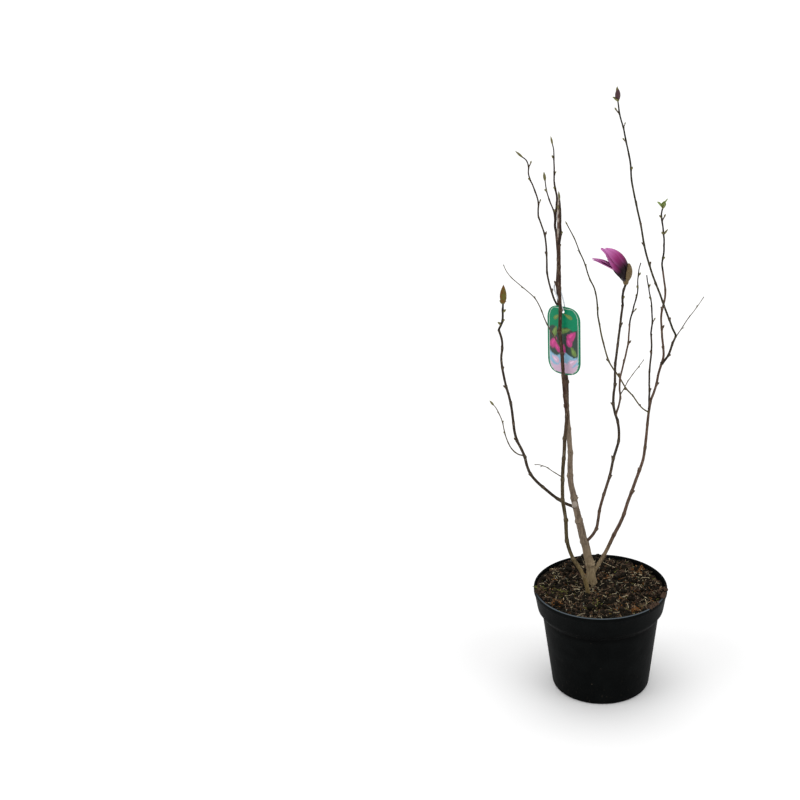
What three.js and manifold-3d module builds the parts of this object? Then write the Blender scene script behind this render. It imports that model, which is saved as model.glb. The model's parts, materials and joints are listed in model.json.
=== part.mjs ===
// A young magnolia of several stems in a round nursery pot, nearly bare in early spring, with one
// half-open flower, swelling buds and a plain plant label tied to its trunk.
//
// Millimetres, +Z up. The origin is the centre of the pot's flat underside, +X is to the right and
// +Y to the back. Every limb is a course of straight internodes: it leaves its parent at a stated
// fraction of the parent's length, leans to the right and to the back by the angles stated along
// it, and turns a little at each node, where its buds sit.

import * as THREE from "three";
import { mergeVertices } from "three/addons/utils/BufferGeometryUtils.js";
import Module from "manifold-3d";

const wasm = await Module();
wasm.setup();

// ---- Driving dimensions: millimetres and degrees ----

const GAP = 0.3; // clearance between pieces that touch
const ROUND = 32; // facets round the pot and the soil

const POT_RADIUS = 95; // outside, at the rim
const POT_HEIGHT = 155;
const POT_FOOT_RADIUS = 70.3; // outside, where the rounded bottom edge ends
const POT_BODY_RADIUS = 83.2; // outside, at the top of the straight body
const POT_COLLAR_RADIUS = 90.4; // outside, at the foot of the collar
const POT_WALL = 1.5;
const POT_FLOOR = 2;
const POT_EDGE = 5; // height of the rounded bottom edge
const POT_TUCK = 4; // how far that edge draws in
const LIP_HEIGHT = 7; // thicker band at the rim
const LIP_WIDTH = 1;
const COLLAR_HEIGHT = 29; // deep band under the rim
const COLLAR_STEP_HEIGHT = 12; // sloping step under the collar
const COLLAR_EDGE = 3; // height of the collar's own lower edge, over the step
const COLLAR_EDGE_DEPTH = 0.9;
const DRAIN_HOLES = 6;
const DRAIN_RADIUS = 5;
const DRAIN_CIRCLE = 50;

const SOIL_LEVEL = 146; // flat soil round the stems' feet
const SOIL_FLAT_RADIUS = 38;
const SOIL_RINGS = [80, 68, 54]; // radii of the rings of facets towards the rim
const SOIL_SLOPE = 30; // over which the lumps rise from the flat middle
const SOIL_LUMP = 2.2; // height of the lumps towards the rim
const SOIL_LEFT_RISE = 2.5; // the soil lies a little higher along the left of the rim
const SOIL_BACK_RISE = 5.5; // and higher still along its back

const GOLDEN_TURN = 137.5; // from one bud to the next, round the limb
const NODE_SWELLING = 1.1;
const INTERNODE_WAIST = 0.97;
const BUD_LENGTH = 4.2;
const BUD_RADIUS = 1.3;
const SPUR_LENGTH = 8;
const BUD_CLEARANCE = 3; // a bud or spur that comes nearer to another limb is left out
const BUDLESS_RADIUS = 2.4; // wood thicker than this bears no buds
const SPUR_CHANCE = 0.3; // share of a twig's buds that have grown to spurs
const SEAT_WIDTH = 9; // no bud stands nearer than this to where a child limb leaves

// The buds that twigs end in, and the blades of a breaking leaf and of a bud's loose scale.
const END_BUDS = {
  shoot: { length: 11, radius: 1.5 },
  leaf_bud: { length: 9, radius: 1.8 },
  leaves: { length: 7, radius: 2 },
  maroon_bud: { length: 17, radius: 3.1 },
  flower_bud: { length: 26, radius: 4.4 },
};
const END_BUD_DEPTH = 1.5; // how far an end bud is sunk in its twig
const LEAF = { width: 4.6, thickness: 0.7, curl: 14, wrap: 70 };
const LEAVES = [
  { bearing: 180, length: 16, open: 12 },
  { bearing: 5, length: 9, open: 34 },
  { bearing: 100, length: 9, open: 20 },
];
const BUD_SCALE = { width: 3.4, thickness: 0.7, open: 36, curl: 10, wrap: 60 };
const BUD_SCALES = {
  maroon_bud: [{ bearing: 0, length: 11 }],
  flower_bud: [{ bearing: 190, length: 7 }, { bearing: 10, length: 7 }],
};

const BUD_POINT = 1.25; // above 1 draws a bud's tip out
const BUD_TAPER = 0.3; // how much narrower a bud is at its tip than a ball drawn out
const BLADE_FOOT = 0.13; // a blade's width follows a sine from this share of its half turn
const BLADE_TIP = 0.96; // to this one
const BLADE_POINT = 1.2; // above 1 moves its widest part towards its tip
const BLADE_PIECES = 12; // straight pieces in which its curl is added up

const FLARE = 0.55; // how much wider the trunk's foot is than its own taper
const FLARE_HEIGHT = 13;
const KNOB_RADIUS = 5.6; // the pale callus knob where the left bough leaves
const KNOB_AT = 0.252;
const KNOB_OFFSET = [-0.6, -3.4, 0.6];

const FLOWER_LEAN = [-43, -6]; // right and back, of the flower's axis
const FLOWER_FOOT = [-2, -6]; // right and back, from the stem's tip to the feet of the tepals
const FLOWER_LIFT = 4.6; // the tepals stand this much over the stem's tip
const FLOWER_CUP = { length: 11, radius: 3.4, depth: 2 }; // the swollen end of its stem
const TEPAL_THICKNESS = 0.9;
const HEART_LENGTH = 36; // the furled inner tepals, one solid body
const HEART_RADIUS = 5.4;
const HEART_LEAN = [-34, -6];

// The outer tepals. Bearings go round the flower's axis: 0 is its under side, 90 its back and 180 its
// top. A tepal opens from the axis at its foot, curls by the angle stated on its way to its tip, and
// wraps round the axis across its width.
const TEPALS = [
  { bearing: 178, length: 61, width: 21, open: 68, curl: -112, wrap: 120 },
  { bearing: 212, length: 60, width: 15, open: 43, curl: -69, wrap: 100 },
  { bearing: 146, length: 57, width: 15, open: 42, curl: -68, wrap: 100 },
  { bearing: 3, length: 54, width: 13, open: 0, curl: 23, wrap: 90 },
  { bearing: 335, length: 43, width: 11, open: 5, curl: 14, wrap: 90 },
];
const BRACT_LEAN = [2, -6];
const BRACT = { bearing: 197, length: 31, width: 12, thickness: 1, open: 52, curl: -88, wrap: 120 };

const LABEL_WIDTH = 51.5;
const LABEL_HEIGHT = 98;
const LABEL_ROUND = 20; // height of each round end
const LABEL_SQUARENESS = 0.6; // 1 gives half ovals, less gives squarer ends
const LABEL_THICKNESS = 0.8;
const LABEL_CENTRE = [-48.6, 17.4, 523.5];
const LABEL_TURN = 30; // its left edge is turned to the back
const LABEL_BULGE = 2.2;
const LABEL_HOLE_RADIUS = 2.6;
const LABEL_HOLE_DROP = 7; // from the label's top edge to the hole's centre
const TIE_RADIUS = 0.7;
const TIE_AT = 0.865; // of the trunk's length: where the loop passes behind it

// A limb: the limb it grows from and where, its length, its sides, the turn at its nodes, the length
// between nodes, its diameters, and its leans to the right and to the back. Diameters and leans are at
// even stations from foot to tip. "at: 1" grows on from the parent's tip.
const LIMBS = {
  trunk: {
    start: [-11, 17], length: 529, sides: 8, turn: 3, internode: 36,
    girth: [11.4, 11.4, 9.6, 7.9, 7, 6.3, 5.7, 5.1, 4.6, 4, 3.5],
    right: [-9, -10, -15, -1, -3, -2, -6, -3, 0, -2], back: [0, 2, 2, -1],
  },
  trunk_tip: {
    from: "trunk", at: 1, length: 121, girth: [3.5, 1.5], sides: 6, turn: 7, internode: 20,
    right: [-24, 17, -17, 11, -23], back: [6, 9],
  },
  trunk_spur: {
    from: "trunk_tip", at: 0.13, length: 64, girth: [2.2, 1.5], sides: 5, turn: 7, internode: 16,
    right: [-12, -15, -10], back: [-13, -8],
  },
  front_stem: {
    start: [-17, -10], length: 522, girth: [5.4, 4.4], sides: 8, turn: 3, internode: 30,
    right: [-9, -29, -3, -5, 6, 3, -5, -3, -1, 1, -4], back: [-2, 6, 2, 2],
  },
  front_tip: {
    from: "front_stem", at: 1, length: 66, girth: [4.2, 1.8], sides: 6, turn: 7, internode: 16,
    right: [1, 5, -12], back: [-11, -3],
  },
  front_low_twig: {
    from: "front_stem", at: 0.36, length: 51, girth: [1.5, 1], sides: 5, turn: 3, internode: 14,
    right: [-59, -37, -63], back: [-9, -33],
  },
  label_twig: {
    from: "front_stem", at: 0.72, length: 152, girth: [2, 1], sides: 5, turn: 3, internode: 22,
    right: [-32, -24, -16, -37, -49, -16], back: [-11, -8],
  },
  left_bough: {
    from: "trunk", at: 0.24, length: 344, girth: [4.4, 3], sides: 6, turn: 3, internode: 30,
    right: [-65, -41, -34, -11, -17, -2, -7, -13, 10, -19], back: [-16, -15, -15],
  },
  left_tip: {
    from: "left_bough", at: 1, length: 41, girth: [3, 2.6], sides: 6, turn: 6, internode: 14,
    right: [21, 6, 2], back: [1, -4],
  },
  left_low_twig: {
    from: "left_bough", at: 0.37, length: 90, girth: [1.9, 1.3], sides: 5, turn: 4, internode: 16,
    right: [-88, -27, -14, -16, -47], back: [-8, 41],
  },
  crown_left_bough: {
    from: "trunk", at: 0.8, length: 129, girth: [2.7, 2.3], sides: 6, turn: 5, internode: 26,
    right: [-41, -12, 1, -11, -15], back: [14, 14],
  },
  crown_left_tip: {
    from: "crown_left_bough", at: 1, length: 87, girth: [2.3, 1.7], sides: 5, turn: 7, internode: 18,
    right: [-12, -1, -18, -26, 4, -57], back: [6, 10],
  },
  flower_bough: {
    from: "trunk", at: 0.13, length: 399, girth: [4.4, 3], sides: 6, turn: 3, internode: 30,
    right: [41, 8, 13, 13, 10, -13, 3, 4, 5, 10], back: [-9, -10, -11],
  },
  flower_tip: {
    from: "flower_bough", at: 1, length: 33, girth: [3, 3], sides: 6, turn: 3, internode: 12,
    right: [-11, 10, 21], back: [-8, -8],
  },
  flower_side_bough: {
    from: "flower_bough", at: 0.57, length: 127, girth: [2.8, 2.3], sides: 6, turn: 4, internode: 26,
    right: [18, -1, 14, 9, 8], back: [-2, 25],
  },
  flower_side_tip: {
    from: "flower_side_bough", at: 1, length: 84, girth: [2.3, 1.4], sides: 5, turn: 6, internode: 18,
    right: [0, 23, -6, 27], back: [8, 16],
  },
  pale_twig: {
    from: "flower_side_bough", at: 0.23, length: 74, girth: [1.5, 0.9], sides: 5, turn: 3, internode: 16,
    right: [16, 24, 34], back: [-29, -14],
  },
  right_stem: {
    from: "trunk", at: 0.03, length: 270, girth: [5.6, 3.6], sides: 8, turn: 3, internode: 32,
    right: [28, 29, 27, 14, 26, 7, 6, 11], back: [18, 14, 16],
  },
  right_bough: {
    from: "right_stem", at: 1, length: 202, girth: [3.6, 2.6], sides: 6, turn: 4, internode: 28,
    right: [15, 9, 20, -10, -5, 14, -6, -7], back: [-6, -3, -5],
  },
  right_tip: {
    from: "right_bough", at: 1, length: 97, girth: [2.6, 2.1], sides: 6, turn: 7, internode: 18,
    right: [-21, 12, -5, -13, 25], back: [-13, -11],
  },
  back_bough: {
    from: "right_stem", at: 0.955, length: 108, girth: [2.8, 2.5], sides: 6, turn: 3, internode: 26,
    right: [-5, 2, 6, -8], back: [27, 14, 15],
  },
  back_tip: {
    from: "back_bough", at: 1, length: 84, girth: [2.5, 1.6], sides: 5, turn: 6, internode: 18,
    right: [-1, 3, -16, 2], back: [12, 16],
  },
  outer_bough: {
    from: "right_bough", at: 0.3, length: 54, girth: [3.4, 2.9], sides: 6, turn: 3, internode: 18,
    right: [36, 14, 15], back: [-12, -25],
  },
  outer_twig: {
    from: "outer_bough", at: 0.9, length: 73, girth: [1.5, 0.9], sides: 5, turn: 3, internode: 18,
    right: [25, 35, 28], back: [-3, -3],
  },
  tall_bough: {
    from: "outer_bough", at: 1, length: 240, girth: [2.9, 2.5], sides: 6, turn: 2, internode: 30,
    right: [-23, -16, -21, -10, -12, -9], back: [-15, -7, -7],
  },
  tall_tip: {
    from: "tall_bough", at: 1, length: 116, girth: [2.5, 1.9], sides: 6, turn: 4, internode: 18,
    right: [-12, -3, -12, -14, -10, -10], back: [-6, -6],
  },
  whip_bough: {
    from: "right_stem", at: 0.94, length: 192, girth: [2, 2.3], sides: 5, turn: 3, internode: 28,
    right: [-43, -15, -23, -28, -17, -7], back: [-34, -40, -6, 12],
  },
  whip_tip: {
    from: "whip_bough", at: 1, length: 145, girth: [2.3, 1.4], sides: 5, turn: 5, internode: 22,
    right: [-19, 2, -27, -15, -26, -26], back: [3, 7],
  },
};

// The boughs, each a node of its own, with what else they are kept clear of.
const BOUGHS = {
  trunk: [],
  front_stem: [],
  left_bough: [],
  crown_left_bough: [],
  flower_bough: [],
  flower_side_bough: [],
  right_stem: [],
  right_bough: [],
  back_bough: ["right_bough"],
  outer_bough: [],
  tall_bough: [],
  whip_bough: ["back_bough"],
};

// The masses of twigs, each a node of its own: its twigs, stem first, and how the stem's tip ends.
const MASSES = {
  trunk_tip_twigs: { twigs: ["trunk_tip", "trunk_spur"], end: "shoot" },
  front_tip_twigs: { twigs: ["front_tip"], end: "shoot" },
  front_low_twigs: { twigs: ["front_low_twig"], end: "thin" },
  label_side_twigs: { twigs: ["label_twig"], end: "thin" },
  left_tip_twigs: { twigs: ["left_tip"], end: "flower_bud" },
  left_low_twigs: { twigs: ["left_low_twig"], end: "leaf_bud" },
  crown_left_twigs: { twigs: ["crown_left_tip"], end: "leaf_bud" },
  flower_twigs: { twigs: ["flower_tip"], end: "flower" },
  flower_side_twigs: { twigs: ["flower_side_tip"], end: "thin" },
  flower_low_twigs: { twigs: ["pale_twig"], end: "thin" },
  right_tip_twigs: { twigs: ["right_tip"], end: "leaves" },
  back_tip_twigs: { twigs: ["back_tip"], end: "thin" },
  outer_twigs: { twigs: ["outer_twig"], end: "thin", clear: ["tall_bough"] },
  tall_tip_twigs: { twigs: ["tall_tip"], end: "maroon_bud" },
  whip_twigs: { twigs: ["whip_tip"], end: "leaf_bud" },
};

// Plain colours of the finishes.
const COLOURS = {
  pot: 0x17191a,
  soil: 0x2e2119,
  trunk: 0x6f6353,
  bough: 0x46301f,
  twigs: 0x5b4a2c,
  flower: 0xb4509a,
  label: 0x138a5c,
  tie: 0xe4e8ea,
};

// ---- Small helpers ----

const degrees = THREE.MathUtils.degToRad;

function seededRandom(seed) {
  let state = seed >>> 0;
  return () => {
    state = (Math.imul(state, 1664525) + 1013904223) >>> 0;
    return state / 4294967296;
  };
}

// Reads a list of values at even stations, at fraction s of the way along it.
function reading(values, s) {
  const place = Math.min(Math.max(s, 0), 1) * (values.length - 1);
  const low = Math.min(Math.floor(place), values.length - 2);
  return values[low] + (values[low + 1] - values[low]) * (place - low);
}

// The unit direction that leans right and back by two angles in degrees.
function leaning(right, back) {
  const x = Math.sin(degrees(right));
  const y = Math.sin(degrees(back));
  return new THREE.Vector3(x, y, Math.sqrt(Math.max(0.02, 1 - x * x - y * y))).normalize();
}

function merged(geometry) {
  geometry.deleteAttribute("normal");
  geometry.deleteAttribute("uv");
  return mergeVertices(geometry, 1e-4);
}

// A closed three.js mesh as a solid that can be joined and cut.
function solidOf(geometry) {
  const vertProperties = new Float32Array(geometry.attributes.position.array);
  const triVerts = new Uint32Array(geometry.index.array);
  return new wasm.Manifold(new wasm.Mesh({ numProp: 3, vertProperties, triVerts }));
}

// Moves every vertex of a merged geometry by a function from old place to new.
function reshaped(geometry, place) {
  const position = geometry.attributes.position;
  for (let i = 0; i < position.count; i++) {
    const spot = place(position.getX(i), position.getY(i), position.getZ(i));
    position.setXYZ(i, spot.x, spot.y, spot.z);
  }
  return geometry;
}

// Two directions square to a limb's own: to its side, and across both.
function sidesOf(direction) {
  const side = new THREE.Vector3().crossVectors(direction, new THREE.Vector3(0, 1, 0)).normalize();
  const across = new THREE.Vector3().crossVectors(side, direction);
  return [side, across];
}

// ---- The courses of the limbs ----

const courses = {};

// The course of a limb: its points, two to an internode, and its directions.
function courseOf(name) {
  if (courses[name]) return courses[name];
  const limb = LIMBS[name];
  const start = new THREE.Vector3();
  let firstDirection = null;
  if (limb.from) {
    const parent = courseOf(limb.from);
    start.copy(pointAlong(parent, limb.at));
    if (limb.at === 1) {
      firstDirection = parent.steps[parent.steps.length - 1];
      start.addScaledVector(firstDirection, GAP);
    }
  } else {
    start.set(limb.start[0], limb.start[1], SOIL_LEVEL);
  }
  const nodes = Math.max(2, Math.floor(limb.length / limb.internode + 0.5));
  const count = 2 * nodes;
  const points = [start];
  const steps = [];
  for (let i = 0; i < count; i++) {
    const s = (i + 0.5) / count;
    const bearing = degrees(GOLDEN_TURN * Math.floor(i / 2));
    const right = reading(limb.right, s) + limb.turn * Math.cos(bearing);
    const back = reading(limb.back, s) + limb.turn * Math.sin(bearing);
    const step = leaning(right, back);
    steps.push(step);
    points.push(points[i].clone().addScaledVector(step, limb.length / count));
  }
  courses[name] = { points, steps, nodes, firstDirection };
  return courses[name];
}

function pointAlong(course, fraction) {
  const place = fraction * (course.points.length - 1);
  const low = Math.min(Math.floor(place), course.points.length - 2);
  return course.points[low].clone().lerp(course.points[low + 1], place - low);
}

function radiusAt(limb, fraction) {
  return 0.5 * reading(limb.girth, fraction);
}

// The direction of the course at one of its points, halfway between its two steps.
function directionAt(course, i) {
  if (i === 0) return (course.firstDirection ?? course.steps[0]).clone();
  if (i === course.steps.length) return course.steps[i - 1].clone();
  return course.steps[i - 1].clone().add(course.steps[i]).normalize();
}

// A closed round tube along points, with a radius at each.
function tube(points, directions, radii, sides) {
  const rings = points.length - 1;
  const unit = merged(new THREE.CylinderGeometry(1, 1, 1, sides, rings));
  return solidOf(reshaped(unit, (x, y, z) => {
    const i = Math.round((y + 0.5) * rings);
    const [side, across] = sidesOf(directions[i]);
    return points[i].clone().addScaledVector(side, x * radii[i]).addScaledVector(across, z * radii[i]);
  }));
}

// The bare tapering limb, fatter by "grow" all round, with swollen nodes.
function limbTube(name, grow = 0) {
  const limb = LIMBS[name];
  const course = courseOf(name);
  const last = course.points.length - 1;
  const points = course.points.map((point) => point.clone());
  const directions = points.map((_, i) => directionAt(course, i));
  const radii = points.map((_, i) => {
    const waist = i % 2 === 0 ? NODE_SWELLING : INTERNODE_WAIST;
    const ends = i === 0 || i === last;
    const flare = name === "trunk" ? FLARE * Math.exp(-(limb.length * i) / last / FLARE_HEIGHT) : 0;
    return radiusAt(limb, i / last) * (ends ? 1 : waist) * (1 + flare) + grow;
  });
  if (grow > 0) {
    points[last].addScaledVector(directions[last], grow);
  }
  if (!limb.from) {
    const below = points[0].clone().addScaledVector(directions[0], -FLARE_HEIGHT);
    points.unshift(below);
    directions.unshift(directions[0]);
    radii.unshift(radii[0] * (name === "trunk" ? 1 + FLARE : 1));
  }
  return tube(points, directions, radii, limb.sides);
}

// A small pointed bud of four faces, its base sunk in the wood at its foot.
function smallBud(foot, direction, length, radius) {
  const unit = merged(new THREE.ConeGeometry(1, 1, 4));
  const [side, across] = sidesOf(direction);
  return solidOf(reshaped(unit, (x, y, z) => foot.clone().addScaledVector(direction, (y + 0.5) * length)
    .addScaledVector(side, x * radius).addScaledVector(across, z * radius)));
}

// A fat pointed bud from a foot along a direction: a ball drawn out, whose width shrinks towards its tip.
function fatBud(foot, direction, length, radius) {
  const unit = merged(new THREE.SphereGeometry(1, 8, 6));
  const [side, across] = sidesOf(direction);
  return solidOf(reshaped(unit, (x, y, z) => {
    const s = 0.5 * (y + 1);
    const along = length * s ** BUD_POINT;
    const wide = radius * (1 - BUD_TAPER * s);
    return foot.clone().addScaledVector(direction, along)
      .addScaledVector(side, x * wide).addScaledVector(across, z * wide);
  }));
}

// A thin pointed blade: a tepal, a leaf or a bud scale. It leaves its foot "open" degrees off the
// axis towards its own bearing, curls by "curl" degrees along its length and wraps round the axis
// by "wrap" degrees across its width.
function blade(foot, axis, size) {
  const unit = merged(new THREE.BoxGeometry(1, 1, 1, size.across ?? 4, 1, size.along ?? 6));
  const [side, across] = sidesOf(axis);
  const bearing = degrees(size.bearing);
  const outward = side.clone().multiplyScalar(Math.cos(bearing)).addScaledVector(across, Math.sin(bearing));
  const sideways = new THREE.Vector3().crossVectors(outward, axis);
  const halfWrap = degrees(size.wrap) / 2;
  return solidOf(reshaped(unit, (x, y, z) => {
    const u = z + 0.5;
    let out = 0;
    let up = 0;
    for (let k = 0; k < BLADE_PIECES; k++) {
      const angle = degrees(size.open + size.curl * u * (k + 0.5) / BLADE_PIECES);
      out += Math.sin(angle) * size.length * u / BLADE_PIECES;
      up += Math.cos(angle) * size.length * u / BLADE_PIECES;
    }
    const heading = degrees(size.open + size.curl * u);
    const share = BLADE_FOOT + (BLADE_TIP - BLADE_FOOT) * u ** BLADE_POINT;
    const halfWidth = 0.5 * size.width * Math.sin(Math.PI * share);
    const turned = 2 * x * halfWrap;
    const bend = halfWidth / halfWrap;
    const inward = bend * (1 - Math.cos(turned)) - y * size.thickness;
    out -= inward * Math.cos(heading);
    up += inward * Math.sin(heading);
    return foot.clone().addScaledVector(outward, out).addScaledVector(axis, up)
      .addScaledVector(sideways, bend * Math.sin(turned));
  }));
}

// Whether a place keeps its distance from every limb but the one that it grows on.
function standsClear(spot, own) {
  for (const name of Object.keys(LIMBS)) {
    if (name === own || LIMBS[own].from === name || LIMBS[name].from === own) continue;
    const limb = LIMBS[name];
    const { points } = courseOf(name);
    for (let i = 1; i < points.length; i++) {
      const nearest = new THREE.Line3(points[i - 1], points[i])
        .closestPointToPoint(spot, true, new THREE.Vector3());
      if (nearest.distanceTo(spot) < radiusAt(limb, i / points.length) + BUD_CLEARANCE) return false;
    }
  }
  return true;
}

// Whether a node of a limb is the seat of one of its own children.
function seatsChild(name, fraction) {
  const { length } = LIMBS[name];
  return Object.values(LIMBS).some((child) =>
    child.from === name && Math.abs(child.at - fraction) * length < SEAT_WIDTH);
}

// The buds of a limb, one at each node, alternate by the golden turn. On a twig some have grown to
// short pointed spurs. The seed is the limb's own length, so each limb keeps its pattern.
function budsOf(name, spurChance) {
  const limb = LIMBS[name];
  const course = courseOf(name);
  const random = seededRandom(limb.length * 7 + limb.internode);
  const buds = [];
  for (let k = 1; k < course.nodes; k++) {
    const size = 0.75 + 0.5 * random();
    const grown = random() < spurChance;
    const fraction = k / course.nodes;
    const i = 2 * k;
    const direction = directionAt(course, i);
    const bearing = degrees(GOLDEN_TURN * k + 180);
    const outward = new THREE.Vector3(Math.cos(bearing), Math.sin(bearing), 0);
    outward.addScaledVector(direction, -outward.dot(direction)).normalize();
    const pointing = direction.clone().multiplyScalar(0.8).addScaledVector(outward, 0.6).normalize();
    const length = size * (grown ? SPUR_LENGTH : BUD_LENGTH);
    const radius = size * BUD_RADIUS * (grown ? 0.85 : 1);
    const foot = course.points[i].clone().addScaledVector(outward, radiusAt(limb, fraction) * 0.55);
    const tip = foot.clone().addScaledVector(pointing, length);
    if (radiusAt(limb, fraction) > BUDLESS_RADIUS) continue;
    if (seatsChild(name, fraction) || !standsClear(tip, name)) continue;
    buds.push(smallBud(foot, pointing, length, radius));
  }
  return buds;
}

function joined(solids) {
  return solids.reduce((whole, solid) => whole.add(solid));
}

// A limb's own solid without what it is seated in: its parent and any limb that it is kept clear of.
function seated(solid, name, others = []) {
  const limb = LIMBS[name];
  const neighbours = limb.from && limb.at < 1 ? [limb.from, ...others] : others;
  return neighbours.reduce((rest, other) => rest.subtract(fattened(other)), solid);
}

function fattened(name) {
  const fat = limbTube(name, GAP);
  return name === "trunk" ? fat.add(knob(GAP)) : fat;
}

function knob(grow = 0) {
  const centre = pointAlong(courseOf("trunk"), KNOB_AT).add(new THREE.Vector3(...KNOB_OFFSET));
  const unit = merged(new THREE.SphereGeometry(KNOB_RADIUS + grow, 8, 6));
  return solidOf(unit.translate(centre.x, centre.y, centre.z));
}

// ---- The boughs ----

// What lies under the flat cut at the level of the soil.
function underground() {
  const deep = 60;
  const block = merged(new THREE.BoxGeometry(200, 200, deep));
  return solidOf(block.translate(0, 0, SOIL_LEVEL + GAP - deep / 2));
}

function boughSolid(name) {
  const pieces = [limbTube(name), ...budsOf(name, 0)];
  if (name === "trunk") pieces.push(knob());
  let solid = joined(pieces);
  if (!LIMBS[name].from) solid = solid.subtract(underground());
  return seated(solid, name, BOUGHS[name]);
}

// ---- What the twigs end in ----

function flowerSolids(tip, stemDirection) {
  const axis = leaning(...FLOWER_LEAN);
  const lift = leaning(...FLOWER_FOOT);
  const foot = tip.clone().addScaledVector(lift, FLOWER_LIFT);
  const heel = tip.clone().addScaledVector(lift, FLOWER_LIFT / 2);
  const tepals = TEPALS.map((size) => blade(foot, axis, {
    ...size, thickness: TEPAL_THICKNESS, across: 3, along: 5,
  }));
  const cup = tip.clone().addScaledVector(stemDirection, -FLOWER_CUP.depth);
  return [
    fatBud(cup, lift, FLOWER_CUP.length, FLOWER_CUP.radius),
    fatBud(heel, leaning(...HEART_LEAN), HEART_LENGTH, HEART_RADIUS),
    ...tepals,
    blade(tip, leaning(...BRACT_LEAN), { ...BRACT, across: 2, along: 3 }),
  ];
}

// What a twig ends in: nothing, the flower, or a bud with any loose scales and breaking leaves.
function endSolids(kind, name) {
  const course = courseOf(name);
  const tip = course.points[course.points.length - 1];
  const direction = course.steps[course.steps.length - 1];
  if (kind === "thin") return [];
  if (kind === "flower") return flowerSolids(tip, direction);
  const foot = tip.clone().addScaledVector(direction, -END_BUD_DEPTH);
  const { length, radius } = END_BUDS[kind];
  const leaves = kind === "leaves" ? LEAVES : [];
  const scales = BUD_SCALES[kind] ?? [];
  return [
    fatBud(foot, direction, length, radius),
    ...leaves.map((leaf) => blade(foot, direction, { ...LEAF, ...leaf, across: 2, along: 3 })),
    ...scales.map((scale) => blade(foot, direction, { ...BUD_SCALE, ...scale, across: 2, along: 2 })),
  ];
}

// A mass: its twigs with their buds, fused, and seated clear of the bough that it grows from.
function massSolid(mass) {
  const stem = mass.twigs[0];
  const pieces = endSolids(mass.end, stem);
  for (const name of mass.twigs) {
    pieces.push(limbTube(name), ...budsOf(name, SPUR_CHANCE));
    if (name !== stem) pieces.push(...endSolids("leaf_bud", name));
  }
  return seated(joined(pieces), stem, mass.clear);
}

// ---- Pot and soil ----

// The pot's outside from the bottom up, radius and height: a rounded edge, a straight body, a
// sloping step, a tapering collar and a lip.
const COLLAR_FOOT = POT_HEIGHT - COLLAR_HEIGHT;
const STEP_FOOT = COLLAR_FOOT - COLLAR_STEP_HEIGHT;
const STEP_TOP = COLLAR_FOOT - COLLAR_EDGE;
const LIP_FOOT = POT_HEIGHT - LIP_HEIGHT;
const POT_OUTSIDE = [
  [POT_FOOT_RADIUS - POT_TUCK, 0],
  [POT_FOOT_RADIUS - 0.27 * POT_TUCK, 0.3 * POT_EDGE],
  [POT_FOOT_RADIUS, POT_EDGE],
  [POT_BODY_RADIUS, STEP_FOOT],
  [POT_COLLAR_RADIUS - COLLAR_EDGE_DEPTH, STEP_TOP],
  [POT_COLLAR_RADIUS, COLLAR_FOOT],
  [POT_RADIUS - LIP_WIDTH, LIP_FOOT],
  [POT_RADIUS, LIP_FOOT + LIP_WIDTH],
  [POT_RADIUS, POT_HEIGHT - 1],
];

// Radius of the pot's inside at a height: the outside less the wall, straight under the lip.
function insideRadius(height) {
  const level = Math.min(height, LIP_FOOT);
  const upper = POT_OUTSIDE.findIndex((corner) => corner[1] >= level);
  const [low, bottom] = POT_OUTSIDE[Math.max(upper, 1) - 1];
  const [high, top] = POT_OUTSIDE[Math.max(upper, 1)];
  return low + ((high - low) * (level - bottom)) / (top - bottom) - POT_WALL;
}

function turned(profile) {
  const points = profile.map(([radius, height]) => new THREE.Vector2(radius, height));
  return merged(new THREE.LatheGeometry(points, ROUND)).rotateX(Math.PI / 2);
}

function potSolid() {
  const heights = [POT_HEIGHT, LIP_FOOT, COLLAR_FOOT, STEP_TOP, STEP_FOOT, POT_EDGE, POT_FLOOR];
  const inside = heights.map((height) => [insideRadius(height), height]);
  const rim = [POT_RADIUS - LIP_WIDTH, POT_HEIGHT];
  let pot = solidOf(turned([[0, 0], ...POT_OUTSIDE, rim, ...inside, [0, POT_FLOOR]]));
  for (let k = 0; k < DRAIN_HOLES; k++) {
    const angle = (2 * Math.PI * k) / DRAIN_HOLES;
    const hole = merged(new THREE.CylinderGeometry(DRAIN_RADIUS, DRAIN_RADIUS, 4 * POT_FLOOR, 10));
    hole.rotateX(Math.PI / 2).translate(DRAIN_CIRCLE * Math.cos(angle), DRAIN_CIRCLE * Math.sin(angle), 0);
    pot = pot.subtract(solidOf(hole));
  }
  return pot;
}

// Height of the soil's lumps over its flat middle.
function soilLumps(x, y) {
  const r = Math.hypot(x, y);
  const share = Math.min(Math.max((r - SOIL_FLAT_RADIUS) / SOIL_SLOPE, 0), 1);
  const waves = Math.sin(x * 0.11 + 1.3) * Math.cos(y * 0.13) + 0.6 * Math.sin(x * 0.23 - y * 0.19);
  const rise = (SOIL_BACK_RISE * Math.max(y, 0) - SOIL_LEFT_RISE * x) / POT_RADIUS;
  return share * (SOIL_LUMP * 0.6 * waves + rise);
}

function soilSolid() {
  const margin = GAP + 0.05;
  const floor = POT_FLOOR + margin;
  const heights = [POT_EDGE + 0.5, STEP_FOOT + 0.1, STEP_TOP - 0.4, COLLAR_FOOT, SOIL_LEVEL - 4];
  const side = heights.map((height) => [insideRadius(height) - margin - 0.1, height]);
  const edge = insideRadius(SOIL_LEVEL) - margin - 0.6;
  const top = [edge, ...SOIL_RINGS, SOIL_FLAT_RADIUS, 0].map((radius) => [radius, SOIL_LEVEL]);
  const bottom = [[0, floor], [insideRadius(floor) - 2 * margin - 1, floor]];
  return solidOf(reshaped(turned([...bottom, ...side, ...top]), (x, y, z) => {
    const lift = z > SOIL_LEVEL - 0.5 ? soilLumps(x, y) : 0;
    return new THREE.Vector3(x, y, z + lift);
  }));
}

// ---- Label and tie ----

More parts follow.
